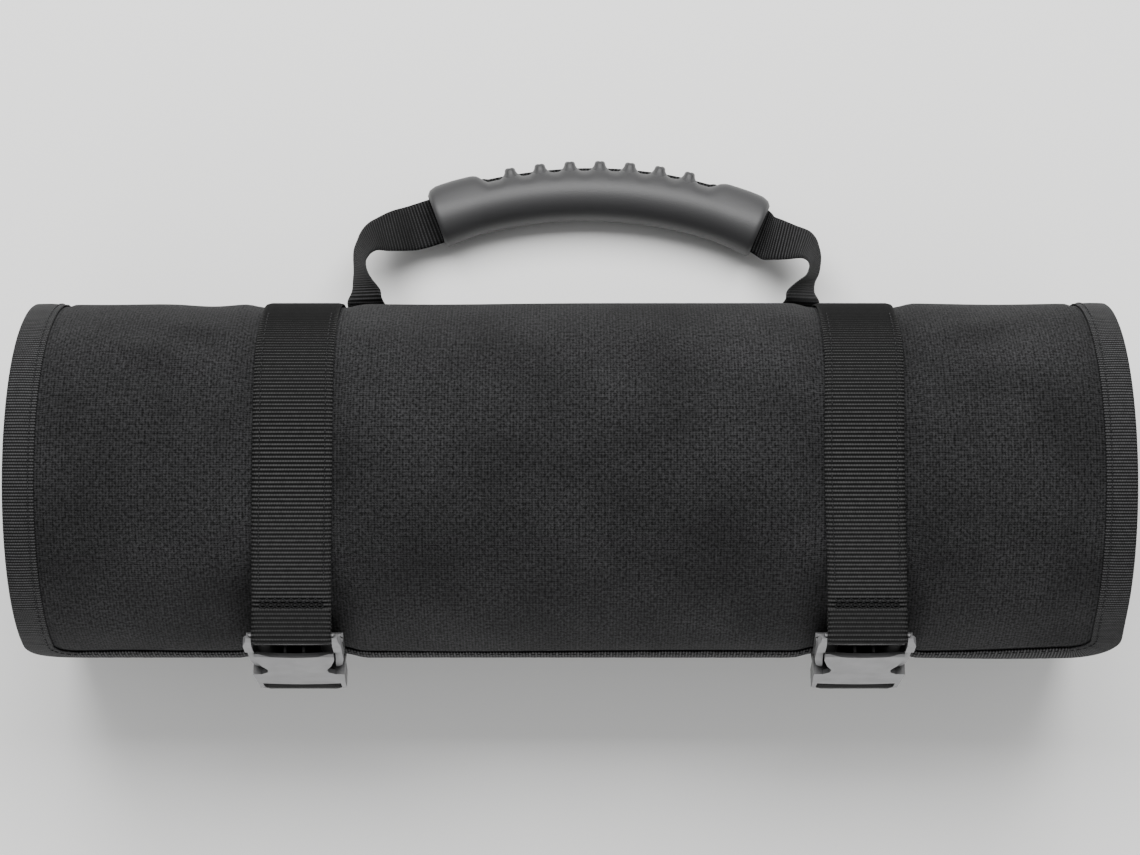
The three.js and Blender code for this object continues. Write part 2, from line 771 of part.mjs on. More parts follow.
function gripSection(share, widthShare, heightShare) {
  const fromEnd = Math.min(share, 1 - share) * gripLength;
  const flare = lerp(gripEndFlare, 1, smoothstep(fromEnd, 0, sleeveLength));
  const sleeve = smoothstep(fromEnd, 0, sleeveEase)
    * (1 - smoothstep(fromEnd, sleeveLength - sleeveEase, sleeveLength));
  return Array.from({ length: gripSides }, (_, k) => {
    const angle = 2 * Math.PI * (k + 0.5) / gripSides;
    const reach = gripWidth / 2 * flare + (Math.cos(angle) > 0 ? sleeveRise * sleeve : 0);
    const outward = Math.cos(angle) * reach * widthShare;
    const upward = Math.sin(angle) * gripHeight / 2 * flare * heightShare;
    return gripPoint(share, outward, upward);
  });
}

function handleGrip() {
  const shares = Array.from({ length: gripSteps + 1 }, (_, k) => k / gripSteps);
  let body = toSolid(skin(shares.map((share) => gripSection(share, 1, 1))));
  const slotHalf = handleThickness / 2 + gripSlotGap;
  const inner = -handleWidth / 2 - gripSlotGap;
  const slotRing = (share, outer) => [
    gripPoint(share, inner, -slotHalf),
    gripPoint(share, outer, -slotHalf),
    gripPoint(share, outer, slotHalf),
    gripPoint(share, inner, slotHalf),
  ];
  const past = sleeveMouthDepth / gripLength;
  const fullShares = [-past, ...shares.slice(1, -1), 1 + past];
  body = body.subtract(toSolid(skin(fullShares.map((share) => slotRing(share, -inner)))));
  const sleeve = sleeveLength / gripLength;
  const openShares = [sleeve, ...shares.filter((share) => share > sleeve && share < 1 - sleeve), 1 - sleeve];
  body = body.subtract(toSolid(skin(openShares.map((share) => slotRing(share, gripWidth)))));
  for (const mouthEnds of [[-past, past], [1 + past, 1 - past]]) {
    const rings = mouthEnds.map((share) => gripSection(share, sleeveMouthWidth, sleeveMouthHeight));
    body = body.subtract(toSolid(skin(rings)));
  }
  const base = handleWidth / 2 + gripSlotGap;
  const tip = gripWidth / 2 + knobHeight;
  for (let k = 0; k < knobCount; k += 1) {
    const share = 0.5 + (k - (knobCount - 1) / 2) * knobPitch / gripLength;
    const ring = (outward, scale) => Array.from({ length: knobSides }, (_, j) => {
      const angle = 2 * Math.PI * (j + 0.5) / knobSides;
      const along = Math.cos(angle) * knobRadius * scale / gripLength;
      return gripPoint(share + along, outward, Math.sin(angle) * knobLength / 2 * scale);
    });
    const rings = [ring(base, 1), ring(tip - knobTip.height, 1), ring(tip, knobTip.share)];
    body = body.add(toSolid(skin(rings)));
  }
  return fromSolid(body);
}

// One side of the handle webbing, from its foot on the roll to the grip's end
function handleSide(side) {
  const inward = side === 'left' ? 1 : -1;
  const gripEnd = gripPoint(side === 'left' ? 0 : 1, 0, 0);
  const edge = strapReach[side] + inward * (strapWidth / 2 + strapMargin);
  const footCentre = edge + inward * (handleWidth / 2);
  const centres = [];
  const turnsUp = [];
  const footPlaces = [footAngles.start, (footAngles.start + footAngles.end) / 2, footAngles.end];
  for (const angle of footPlaces) {
    const s = (flapAngle - angle) * arcOfDegree;
    centres.push(rollPoint(footCentre, s, handleThickness / 2 + footClearance));
    turnsUp.push(0);
  }
  for (const row of handleRows) {
    centres.push(new THREE.Vector3(
      lerp(edge, gripEnd.x, row.blend) + inward * row.bow * handleWidth,
      lerp(rollRadius, gripEnd.y, row.out),
      row.height * handleRise,
    ));
    turnsUp.push(row.turn);
  }
  centres.push(gripEnd);
  turnsUp.push(0);
  const curve = new THREE.CatmullRomCurve3(centres, false, 'centripetal');
  const stations = [];
  for (let k = 0; k <= handleSteps; k += 1) {
    const share = k / handleSteps;
    const place = share * (centres.length - 1);
    const row = Math.min(centres.length - 2, Math.floor(place));
    const turn = lerp(turnsUp[row], turnsUp[row + 1], place - row) * degree;
    const tangent = curve.getTangent(share);
    const loose = smoothstep(place, footPlaces.length - 1, footPlaces.length + 1);
    const level = new THREE.Vector3(inward, 0, 0).lerp(
      new THREE.Vector3(tangent.y, -tangent.x, 0).normalize().multiplyScalar(inward),
      loose,
    ).normalize();
    const upright = new THREE.Vector3().crossVectors(level, tangent).multiplyScalar(inward);
    const widthDirection = level.multiplyScalar(Math.cos(turn)).addScaledVector(upright, Math.sin(turn));
    stations.push({ centre: curve.getPoint(share), widthDirection });
  }
  return stations;
}

function handleWebbing() {
  const stations = handleSide('left');
  for (let k = 1; k < gripSteps; k += 1) {
    const share = k / gripSteps;
    const centre = gripPoint(share, 0, 0);
    stations.push({ centre, widthDirection: gripPoint(share, -1, 0).sub(centre) });
  }
  stations.push(...handleSide('right').reverse());
  const front = [];
  const back = [];
  stations.forEach((station, k) => {
    const before = stations[Math.max(0, k - 1)].centre;
    const after = stations[Math.min(stations.length - 1, k + 1)].centre;
    const tangent = after.clone().sub(before).normalize();
    const normal = new THREE.Vector3().crossVectors(station.widthDirection, tangent).normalize();
    const across = new THREE.Vector3().crossVectors(tangent, normal).normalize();
    const pair = (lift) => [-1, 1].map((sign) => station.centre.clone()
      .addScaledVector(across, sign * handleWidth / 2)
      .addScaledVector(normal, lift));
    front.push(pair(handleThickness / 2));
    back.push(pair(-handleThickness / 2));
  });
  return closedSheet(front, back);
}

// The assembly
function piece(name, geometry, finish) {
  const mesh = new THREE.Mesh(geometry, finish);
  mesh.name = name;
  return mesh;
}

const group = new THREE.Group();
group.add(piece('roll_panel', rollPanel(), clothMaterial()));
group.add(piece('edge_binding', edgeBinding(), tapeMaterial()));
for (const side of ['left', 'right']) {
  group.add(piece(`strap_${side}`, strap(side), webbingMaterial()));
  const buckle = new THREE.Group();
  const foot = buckleFlat(0, 0);
  buckle.position.set(strapCentre(side, buckleAngle), foot.x, foot.y);
  const basis = new THREE.Matrix4().makeBasis(
    new THREE.Vector3(1, 0, 0),
    new THREE.Vector3(0, outOfBuckle.x, outOfBuckle.y),
    new THREE.Vector3(0, alongBuckle.x, alongBuckle.y),
  );
  buckle.setRotationFromMatrix(basis);
  buckle.add(piece(`buckle_male_${side}`, maleHalf(), buckleMaterial()));
  buckle.add(piece(`buckle_female_${side}`, femaleHalf(), buckleMaterial()));
  group.add(buckle);
}
group.add(piece('handle_webbing', handleWebbing(), webbingMaterial()));
group.add(piece('handle_grip', handleGrip(), gripMaterial()));

export default group;
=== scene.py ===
# Tool roll bag: a rolled cloth panel with bound edges, two buckled straps and a carrying handle.
# It lies on its back. Lengths in the code are millimetres and angles degrees until a mesh is made.
# X runs along the roll, +Y points to the handle and +Z is up. An angle round the roll is measured
# from the top, growing towards the buckles on the -Y side.
from math import atan2, cos, hypot, pi, radians, sin

import bpy
import numpy as np
from bpy.props import (
    FloatProperty, FloatVectorProperty, IntProperty, PointerProperty,
)
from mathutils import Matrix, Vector


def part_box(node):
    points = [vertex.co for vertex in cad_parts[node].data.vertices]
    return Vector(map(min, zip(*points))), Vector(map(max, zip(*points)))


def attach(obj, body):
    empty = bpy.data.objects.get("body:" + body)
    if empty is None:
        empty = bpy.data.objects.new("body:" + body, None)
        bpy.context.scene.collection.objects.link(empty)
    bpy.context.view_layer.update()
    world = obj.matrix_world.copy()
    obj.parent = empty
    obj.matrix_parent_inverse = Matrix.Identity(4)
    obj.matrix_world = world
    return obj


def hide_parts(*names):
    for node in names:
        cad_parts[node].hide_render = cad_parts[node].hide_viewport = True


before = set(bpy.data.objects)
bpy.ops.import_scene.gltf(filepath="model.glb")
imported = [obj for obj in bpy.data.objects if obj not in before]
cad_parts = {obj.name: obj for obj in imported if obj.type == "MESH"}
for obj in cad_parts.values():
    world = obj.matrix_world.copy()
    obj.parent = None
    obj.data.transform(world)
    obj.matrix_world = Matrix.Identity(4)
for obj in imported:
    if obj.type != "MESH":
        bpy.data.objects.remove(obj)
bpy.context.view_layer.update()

bl_info = {
    "name": "Tool roll bag",
    "version": (1, 0, 0),
    "blender": (4, 5, 0),
    "location": "View3D > Sidebar > Tool roll",
    "description": "Builds a rolled-up tool bag with buckled straps and a carrying handle",
    "category": "Add Mesh",
}

MM = 0.001
PARTS_FOLDER = "Tool roll"

# Roll of cloth, as the frame holds it
FLAT_DEPTH = 3.0
TURN_PITCH = 7.5
TURNS = 2.3
FLAP_ANGLE = 87.0
TUCK_START = 290.0
INNER_CURL = 12.0
INNER_CURL_SPAN = 80.0
CORNER_RADIUS = 24.0
CORNER_ZONE = 44.0
CORNER_PULL = 20.0
CORNER_LIFT = 4.0
CORNER_CURL_LENGTH = 105.0
CORNER_CURL_DEPTH = 60.0
TAPE_THICKNESS = 0.8
TAPE_GAP = 0.5
TAPE_EASE = 5.0
TAPE_INSET = 1.0
EDGE_CORNER_STEPS = 15
EDGE_FLAP_STEPS = 124
COVER_COLUMNS = 170

# Lines of the tape over and under the panel's edge: share of its width, mm more, how high the
# outer face lies and how high the inner one
TAPE_OVER = (
    (1, 0, -0.25, 0), (1, -0.5, 0, 0), (1, -2.2, 0, 0), (1, -3, -0.12, -0.02), (1, -4, 0.05, 0),
    (0.5, 0, 0.15, 0), (0.2, 0, 0.12, 0), (0, 0.8, 0.05, 0),
)
TAPE_UNDER = ((0, 0.8, 0, 0), (0.5, 0, -0.1, 0), (1, 0, 0, 0))
OUTER_TURN_END = (480, 560)
EDGE_STITCH = {"pitch": 3.4, "length": 2.5, "inset": 2.6, "radius": 0.32, "last": 575}
SIDES = ("left", "right")

# Straps
STRAP_GAP = 0.3
STRAP_REACH = {"left": -133.6, "right": 142.6}
STRAP_SWAY = {"left": 1.5, "right": -2.6}
STRAP_SWAY_SPAN = 48.0
PINCH_MARGIN = 1.0
PINCH_EASE = 12.0
STRAP_RIB_DEPTH = 0.42
STRAP_COLUMNS = 15

# A webbing's edges: where they start as a share of its half width, how thin they get, and how
# deep the ribs stay there
SELVAGE_START = 0.9
SELVAGE_THICKNESS = 0.45
SELVAGE_RIBS = 0.35
COLUMN_CROWDING = 0.8

# A stitch: its arch and its thickness at the ends, as shares of the thread's radius
THREAD_ARCH = 0.9
THREAD_END = 0.45
STRAP_STITCH = {"pitch": 3.6, "length": 2.4, "inset": 3.4, "radius": 0.34}
RIB_STEPS = 6
FOLDED_END = 13.5
FOLDED_END_LIFT = 0.7
TUCKED_END = 18.0
STITCH_ANGLES = (-64.0, 37.0)
TACK_ANGLE = 45.5
TACK_ROWS = 2
TACK_ROW_LENGTH = 3.6
TACK_CROSSINGS = 8

# Buckles, with t along the buckle from the pronged half and n away from the roll
BUCKLE_ANGLE = 74.2
BUCKLE_THICKNESS = 12.6
BUCKLE_CLEARANCE = 0.6
MALE_BAR_RADIUS = 1.7
MALE_BAR_PLACE = -43.0
FEMALE_BAR_RADIUS = 1.9
FEMALE_BAR_PLACE = 26.0
FEMALE_BAR_RISE = 1.0

# Handle webbing and grip
HANDLE_RISE = 79.0
HANDLE_RIB_DEPTH = 0.25
HANDLE_COLUMNS = 13
FOOT_CLEARANCE = 1.2

# Where the webbing's foot lies on the roll: angle round the roll, extra lift and turn in degrees
FOOT_ROWS = ((-128.0, 0.0, 0), (-120.0, 0.0, 0), (-112.0, 1.0, 10))
GRIP_CENTRE = (15.1, 145.0)
GRIP_SAGITTA = 16.8
GRIP_TILT = -1.8
GRIP_HEIGHT = 26.0
GRIP_END_FLARE = 1.09
SLEEVE_LENGTH = 26.0
KNOB_PITCH = 15.2
KNOB_HALF_HEIGHT = 6.8
KNOB_SQUARENESS = 0.75

# Levels of a knob: rise over the grip's surface, and size against the knob's
KNOB_LEVELS = (
    (-3.0, 1.75), (-1.0, 1.62), (-0.3, 1.42), (0.5, 1.18), (1.5, 1.0), (2.6, 0.92), (3.3, 0.8),
    (3.65, 0.6), (3.8, 0.34),
)

# How far the grip's outer side reaches from its middle line: share along the grip, and distance
GRIP_REACH = (
    (0.0, 15.3), (0.012, 17.0), (0.03, 18.1), (0.08, 18.2), (0.13, 18.0), (0.15, 17.5), (0.176, 14.2),
    (0.3, 14.3), (0.5, 14.9), (0.7, 15.2), (0.818, 15.0), (0.845, 17.5), (0.87, 18.0), (0.93, 18.2),
    (0.97, 18.1), (0.988, 17.0), (1.0, 15.5),
)

# Depth of the dips in the slit's lips between the knobs, and how far from a knob they start and end
SCALLOP_DEPTH = 1.6
SCALLOP_EASE = (2.6, 6.2)

# The grip's slit and throat: gaps round the webbing, the closed slit's half width, walls at the
# slit and at the ends, and how far the ends are rounded and the throat opens there
SLIT_GAP = 0.35
THROAT_GAP = 0.4
CLOSED_SLIT = 0.04
LIP_WALL = 1.2
MOUTH_WALL = 1.8
MOUTH_HEIGHT = 0.62
MOUTH_LENGTH = 6
END_ROUNDING = 0.06
END_ROUNDING_LENGTH = 1.6

# How the handle webbing goes from the roll to the grip: share of the way out along Y, share of
# the way along X, sideways bow as a share of its width, share of the rise, and how its width lies:
# turn up from level and heading seen from above, in degrees
HANDLE_ROWS = (
    (0.07, 0.235, -0.07, 0.99, 44, -7),
    (0.155, 0.225, -0.03, 0.985, 50, -9),
    (0.263, 0.257, -0.165, 0.925, 62, -16),
    (0.37, 0.38, -0.44, 0.835, 67, -31),
    (0.459, 0.414, -0.54, 0.757, 66, -39),
    (0.559, 0.445, -0.61, 0.667, 61, -50),
    (0.641, 0.487, -0.64, 0.59, 56, -58),
    (0.713, 0.518, -0.64, 0.515, 50, -63),
    (0.786, 0.529, -0.54, 0.435, 43, -69),
    (0.836, 0.44, -0.19, 0.345, 32, -75),
    (0.88, 0.43, 0.1, 0.28, 18, -75),
    (0.922, 0.58, 0.17, 0.205, 4, -73),
    (0.965, 0.83, 0.04, 0.18, 0, -70),
)
GRIP_HEADING = -68.0

# Shallow dents of the cloth: place along the roll and angle round it, depth, length and spread
DENT_ROWS = (
    (-236.7, -62, 1.8, 37.7, 24),
    (-180.2, -80, 1.62, 16.1, 22),
    (-69.9, -70, 0.9, 48.4, 26),
    (64.6, 40, 1.08, 64.6, 20),
    (215.2, -60, 1.62, 32.3, 26),
    (-204.4, 45, 1.26, 37.7, 20),
)

# Soft folds of the outer turn, of the same kind as the dents, with a lean of the fold in degrees
# of turn for each 100 mm along the roll
FOLD_ROWS = (
    (-196, -38, 1.1, 34, 5, 22),
    (-214, -18, 0.9, 30, 5, -14),
    (-176, -50, 0.9, 18, 5, 26),
    (-100, -44, 0.7, 22, 6, -26),
    (196, -52, 1.0, 26, 5, -24),
    (214, -30, 0.8, 32, 6, 16),
    (120, -58, 0.6, 30, 6, 12),
    (-60, 74, 0.6, 50, 4, 3),
    (60, 68, 0.6, 60, 5, -3),
    (-226, 60, 0.8, 24, 7, 16),
    (226, 48, 0.8, 28, 8, -12),
)

FOLD_VALLEY = 0.6
FOLD_VALLEY_PLACE = 1.9


# Small sums

def smoothstep(value, start, end):
    share = np.clip((np.asarray(value, dtype=float) - start) / (end - start), 0, 1)
    return share * share * (3 - 2 * share)


def wrapped_angle(angle):
    return (np.asarray(angle) + 180) % 360 - 180


def distances(points):
    """How far each point of a line is from its start."""
    return np.concatenate([[0], np.cumsum(np.linalg.norm(np.diff(points, axis=0), axis=1))])


def linear_colour(hex_value):
    """An sRGB hex value as a linear colour with an alpha of 1."""
    channels = [(hex_value >> shift & 255) / 255 for shift in (16, 8, 0)]
    return tuple(c / 12.92 if c <= 0.04045 else ((c + 0.055) / 1.055) ** 2.4 for c in channels) + (1,)


def scaled(colour, factor):
    return tuple(channel * factor for channel in tuple(colour)[:3]) + (1,)


# Painted shade: the near-black colour that the gaps between a cloth's threads and between a webbing's ribs
# take
THREAD_GAP_SHADE = linear_colour(0x050505)


# Shape of the roll

def mm(group, name):
    """A size that a user would change, in millimetres."""
    return getattr(getattr(bpy.context.scene, f"tool_roll_{group}"), name) / MM


def half_length():
    return mm("cover", "length") / 2


def roll_radius():
    return mm("cover", "radius")


def arc_of_degree():
    return radians(roll_radius())


def axis_height():
    return roll_radius() - FLAT_DEPTH


def panel_length():
    return TURNS * 360 * arc_of_degree()


def turn_radius(angle_from_flap):
    turn = np.floor(angle_from_flap / 360)
    tuck = smoothstep(angle_from_flap - turn * 360, TUCK_START, 360)
    curl = INNER_CURL * smoothstep(angle_from_flap, TURNS * 360 - INNER_CURL_SPAN, TURNS * 360)
    return roll_radius() - TURN_PITCH * (turn + tuck) - curl


def strap_centre(side, angle):
    near_top = 1 - smoothstep(np.abs(wrapped_angle(angle)), 0, STRAP_SWAY_SPAN)
    return STRAP_REACH[side] + STRAP_SWAY[side] * near_top


def pinch_share(x, angle):
    """How much of a strap's pressure reaches a place: 1 below the strap, fading to 0 beside it."""
    half = mm("straps", "width") / 2 + PINCH_MARGIN
    away = np.minimum(*(np.abs(x - strap_centre(side, angle)) for side in SIDES))
    return 1 - smoothstep(away, half, half + PINCH_EASE)


def dent_depth(x, angle):
    depth = 0.0
    for along, around, deep, length, spread in DENT_ROWS:
        far = ((x - along) / length) ** 2 + (wrapped_angle(angle - around) / spread) ** 2
        depth = depth + deep * np.exp(-far)
    return depth


def fold_height(x, angle):
    """Each fold is a ridge with a shallower valley beside it."""
    height = 0.0
    for along, around, high, length, spread, lean in FOLD_ROWS:
        turned = wrapped_angle(angle - around - lean * (x - along) / 100) / spread
        ridge = np.exp(-turned ** 2) - FOLD_VALLEY * np.exp(-(turned - FOLD_VALLEY_PLACE) ** 2)
        height = height + high * np.exp(-((x - along) / length) ** 2) * ridge
    return height


def roll_points(x, s, height, folds=0.0):
    """Points on the roll for places x along it and distances s from the flap's edge."""
    end = half_length()
    curled = smoothstep(x, end - CORNER_CURL_LENGTH, end)
    at_edge = 1 - smoothstep(s, 0, CORNER_CURL_DEPTH)
    from_flap = (s + CORNER_PULL * curled * at_edge) / arc_of_degree()
    angle = wrapped_angle(FLAP_ANGLE - from_flap)
    pinch = pinch_share(x, angle)
    strap_press = mm("straps", "thickness") + STRAP_GAP
    soft = (1 - pinch) * (dent_depth(x, angle) - folds * fold_height(x, angle))
    radius = turn_radius(from_flap) + height + CORNER_LIFT * curled * at_edge
    radius = radius - pinch * strap_press - soft
    across = -radius * np.sin(np.radians(angle))
    above = np.maximum(radius * np.cos(np.radians(angle)), FLAT_DEPTH - radius)
    return np.stack(np.broadcast_arrays(x, across, np.maximum(0, axis_height() + above)), -1)


def end_of_row(s):
    """Half-length of the panel at a distance from the flap's edge, with its corners rounded."""
    into = np.maximum(0, CORNER_RADIUS - s)
    return half_length() - CORNER_RADIUS + np.sqrt(CORNER_RADIUS ** 2 - into ** 2)


def edge_distance(x, s):
    along_end = half_length() - np.abs(x)
    in_corner = (along_end < CORNER_RADIUS) & (s < CORNER_RADIUS)
    round_corner = CORNER_RADIUS - np.hypot(CORNER_RADIUS - along_end, CORNER_RADIUS - s)
    return np.where(in_corner, round_corner, np.minimum(along_end, s))


# Making meshes

def closed_sheet(front, back):
    """Points and faces of a sheet with a thickness, from two grids of points."""
    rows, columns = front.shape[:2]
    count = rows * columns
    points = np.concatenate([front.reshape(-1, 3), back.reshape(-1, 3)])
    index = np.arange(count).reshape(rows, columns)
    top = np.stack([index[:-1, :-1], index[1:, :-1], index[1:, 1:], index[:-1, 1:]], -1).reshape(-1, 4)
    border = np.concatenate([index[:-1, 0], index[-1, :-1], index[:0:-1, -1], index[0, :0:-1]])
    after = np.roll(border, -1)
    rim = np.stack([after, border, border + count, after + count], -1)
    return points, np.concatenate([top, top[:, ::-1] + count, rim])


def closed_tube(rings):
    """Points and faces of a closed tube over rings of points, with a face at each end."""
    count, sides = rings.shape[:2]
    index = np.arange(count * sides).reshape(count, sides)
    nxt = np.roll(index, -1, axis=1)
    walls = np.stack([index[:-1], nxt[:-1], nxt[1:], index[1:]], -1).reshape(-1, 4)
    return rings.reshape(-1, 3), [*walls.tolist(), index[0, ::-1].tolist(), index[-1].tolist()]


def signed_volume(points, faces):
    corners = np.array([[f[0], f[k], f[k + 1]] for f in faces for k in range(1, len(f) - 1)])
    a, b, c = (points[corners[:, k]] for k in range(3))
    return (a * np.cross(b, c)).sum()


def joined(bodies):
    """One set of points, faces and places on the cloth from several."""
    points, faces, places, start = [], [], [], 0
    for body_points, body_faces, body_places in bodies:
        points.append(body_points)
        places.append(body_places)
        faces.extend([[k + start for k in face] for face in body_faces])
        start += len(body_points)
    return np.concatenate(points), faces, np.concatenate(places)


def add_piece(name, points, faces, places, material, slot, stands_for=()):
    """Adds a piece of the bag. places holds each point's place on its flat cloth, in mm."""
    if not np.isfinite(points).all():
        raise ValueError(f"{name} has a point that is not a number")
    # Nothing of the bag reaches below the floor
    points[:, 2] = np.maximum(points[:, 2], 0)
    faces = faces if isinstance(faces, list) else faces.tolist()
    if signed_volume(points, faces) < 0:
        faces = [face[::-1] for face in faces]
    mesh = bpy.data.meshes.new(name)
    mesh.from_pydata((points * MM).tolist(), [], faces)
    corners = np.empty(len(mesh.loops), dtype=np.int32)
    mesh.loops.foreach_get("vertex_index", corners)
    flat_places = mesh.uv_layers.new(name="flat place")
    flat_places.data.foreach_set("uv", np.asarray(places, dtype=np.float32)[corners].ravel())
    mesh.shade_smooth()
    mesh.materials.append(material)
    piece = bpy.data.objects.new(name, mesh)
    parts_folder().objects.link(piece)
    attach(piece, "root")
    if stands_for:
        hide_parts(*stands_for)
    return piece


def parts_folder():
    folder = bpy.data.collections.get(PARTS_FOLDER)
    if folder is None:
        folder = bpy.data.collections.new(PARTS_FOLDER)
        bpy.context.scene.collection.children.link(folder)
    return folder


def thread_stitches(name, starts, ends, lifts, radius, material, slot):
    """Short raised thread stitches from starts to ends, each bulging along its lift."""
    steps, sides = 5, 6
    share = np.linspace(0, 1, steps)
    bodies = []
    for start, end, lift in zip(starts, ends, lifts):
        along = (end - start) / np.linalg.norm(end - start)
        side = np.cross(along, lift)
        side /= np.linalg.norm(side)
        out = np.cross(side, along)
        arch = radius * THREAD_ARCH * np.sin(share * pi)
        thin = radius * (THREAD_END + (1 - THREAD_END) * np.sin(share * pi))
        centres = start + np.outer(share, end - start) + np.outer(arch, out)
        turn = np.arange(sides) * 2 * pi / sides
        ring = np.cos(turn)[:, None] * side + np.sin(turn)[:, None] * out
        points, faces = closed_tube(centres[:, None] + thin[:, None, None] * ring[None])
        bodies.append((points, faces, np.zeros((len(points), 2))))
    points, faces, places = joined(bodies)
    return add_piece(name, points, faces, places, material, slot)


# Materials

def node(tree, kind, inputs=(), **settings):
    """Adds a shader node with its settings, and sets or links each of its inputs."""
    made = tree.nodes.new(f"ShaderNode{kind}")
    for name, value in settings.items():
        setattr(made, name, value)
    for socket, value in dict(inputs).items():
        if isinstance(value, bpy.types.NodeSocket):
            tree.links.new(value, made.inputs[socket])
        else:
            made.inputs[socket].default_value = value
    return made


def surface(name, roughness, ior, specular=0.5, sheen=0.0, woven=False):
    """A new material, its shader, and each point's place: in mm on the flat cloth, or in metres."""
    material = bpy.data.materials.new(name)
    material.use_nodes = True
    tree = material.node_tree
    shader = tree.nodes["Principled BSDF"]
    constants = {"Roughness": roughness, "IOR": ior, "Specular IOR Level": specular, "Sheen Weight": sheen}
    for socket, value in constants.items():
        shader.inputs[socket].default_value = value
    if woven:
        return material, tree, shader, node(tree, "UVMap", uv_map="flat place").outputs["UV"]
    return material, tree, shader, node(tree, "TexCoord").outputs["Object"]


def link_surface(tree, shader, tone, height=None, strength=0.0, distance=0.0):
    """Links a colour, and if there is one a relief with its distance in metres, to the shader."""
    tree.links.new(tone, shader.inputs["Base Color"])
    if height:
        bump = node(tree, "Bump", {"Height": height, "Strength": strength, "Distance": distance})
        tree.links.new(bump.outputs[0], shader.inputs["Normal"])


def ripple(tree, place, axis, pitch):
    """A wave from 0 to 1 across the cloth, with one crest for each pitch in mm."""
    split = node(tree, "SeparateXYZ", {0: place})
    turn = node(tree, "Math", {0: split.outputs[axis], 1: 2 * pi / pitch}, operation="MULTIPLY")
    wave = node(tree, "Math", {0: turn.outputs[0]}, operation="SINE")
    raised = node(tree, "Math", {0: wave.outputs[0], 1: 0.5, 2: 0.5}, operation="MULTIPLY_ADD")
    return raised.outputs[0]


def coated_canvas(colour, light_colour):
    """Polyester canvas, plain woven and coated on the back: matt, with a speckled crossed grain."""
    material, tree, shader, place = surface(
        "woven polyester canvas", 0.85, 1.5, specular=0.1, sheen=0.018, woven=True)
    # Threads of this cloth are about 0.5 mm apart, too fine for the render, so they are drawn
    # at 1.5 mm, and crossed at a slope
    thread_pitch = 1.5
    slope = 1.3
    split = node(tree, "SeparateXYZ", {0: place})
    diagonals = []
    for lean in (slope, -slope):
        leaning = node(tree, "Math", {0: split.outputs[1], 1: lean, 2: split.outputs[0]},
                       operation="MULTIPLY_ADD")
        turn = node(tree, "Math", {0: leaning.outputs[0], 1: pi / thread_pitch}, operation="MULTIPLY")
        diagonals.append(node(tree, "Math", {0: turn.outputs[0]}, operation="SINE").outputs[0])
    crossed = node(tree, "Math", {0: diagonals[0], 1: diagonals[1]}, operation="MULTIPLY")
    # Slubs: single threads that catch the light over a few millimetres
    slubs = node(tree, "TexNoise", {"Vector": place, "Scale": 0.62, "Detail": 4.0, "Roughness": 0.75})
    grain = node(tree, "MapRange", {0: slubs.outputs[0], 1: 0.36, 2: 0.66})
    weave = node(tree, "Math", {0: crossed.outputs[0], 1: 0.3, 2: grain.outputs[0]},
                 operation="MULTIPLY_ADD").outputs[0]
    # Painted shade: the gaps between the crossed threads are darkened towards the near-black colour; the
    # slubs vary the tone at random
    woven = node(tree, "Mix", {0: weave, 6: colour, 7: light_colour}, data_type="RGBA")
    # Worn and dusty patches, some 60 mm wide
    patches = node(tree, "TexNoise", {"Vector": place, "Scale": 0.016, "Detail": 4.0, "Roughness": 0.6})
    tone = node(tree, "MapRange", {0: patches.outputs[0], 1: 0.32, 2: 0.68, 3: 0.7, 4: 1.3})
    faded = node(tree, "VectorMath", {0: woven.outputs[2], 1: tone.outputs[0]}, operation="MULTIPLY")
    link_surface(tree, shader, faded.outputs[0], weave, 0.5, 0.5 * MM)
    return material


def ribbed_webbing(name, colour, crest_colour, rib_pitch, thread_pitch, depth):
    """Woven polyester webbing or tape: bright ribs across it, with painted shade in the gaps between them,
    and offset threads.
    """
    material, tree, shader, place = surface(name, 0.75, 1.5, specular=0.15, woven=True)
    rib = ripple(tree, place, 1, rib_pitch)
    half_rib = ripple(tree, place, 1, rib_pitch * 2)
    threads = ripple(tree, place, 0, thread_pitch)
    # Neighbouring ribs hold the threads on opposite sides
    choose = node(tree, "Math", {0: half_rib, 1: 0.5}, operation="GREATER_THAN")
    other = node(tree, "Math", {0: 1.0, 1: threads}, operation="SUBTRACT")
    offset = node(tree, "Mix", {0: choose.outputs[0], 2: threads, 3: other.outputs[0]}, data_type="FLOAT")
    fine = node(tree, "Math", {0: offset.outputs[0], 1: 0.3, 2: rib},
                operation="MULTIPLY_ADD").outputs[0]
    uneven = node(tree, "TexNoise", {"Vector": place, "Scale": 0.35, "Detail": 4.0})
    worn = node(tree, "Math", {0: uneven.outputs[0], 1: 0.5, 2: fine}, operation="MULTIPLY_ADD")
    # Painted shade: where the ribs dip the colour goes to the near-black gap colour, on their crests to the
    # webbing's own
    factor = node(tree, "MapRange", {0: worn.outputs[0], 1: 0.82, 2: 1.5})
    tone = node(tree, "Mix", {0: factor.outputs[0], 6: colour, 7: crest_colour}, data_type="RGBA")
    link_surface(tree, shader, tone.outputs[2], fine, 0.6, depth * MM)
    return material


def sewing_thread(colour):
    """Twisted polyester thread: a little shinier than the cloth round it."""
    material, tree, shader, _ = surface("sewn polyester thread", 0.6, 1.5, specular=0.3)
    grain = node(tree, "TexNoise", {"Scale": 900.0, "Detail": 2.0})
    tone = node(tree, "Mix", {0: grain.outputs[0], 6: colour, 7: scaled(colour, 3.0)}, data_type="RGBA")
    link_surface(tree, shader, tone.outputs[2])
    return material


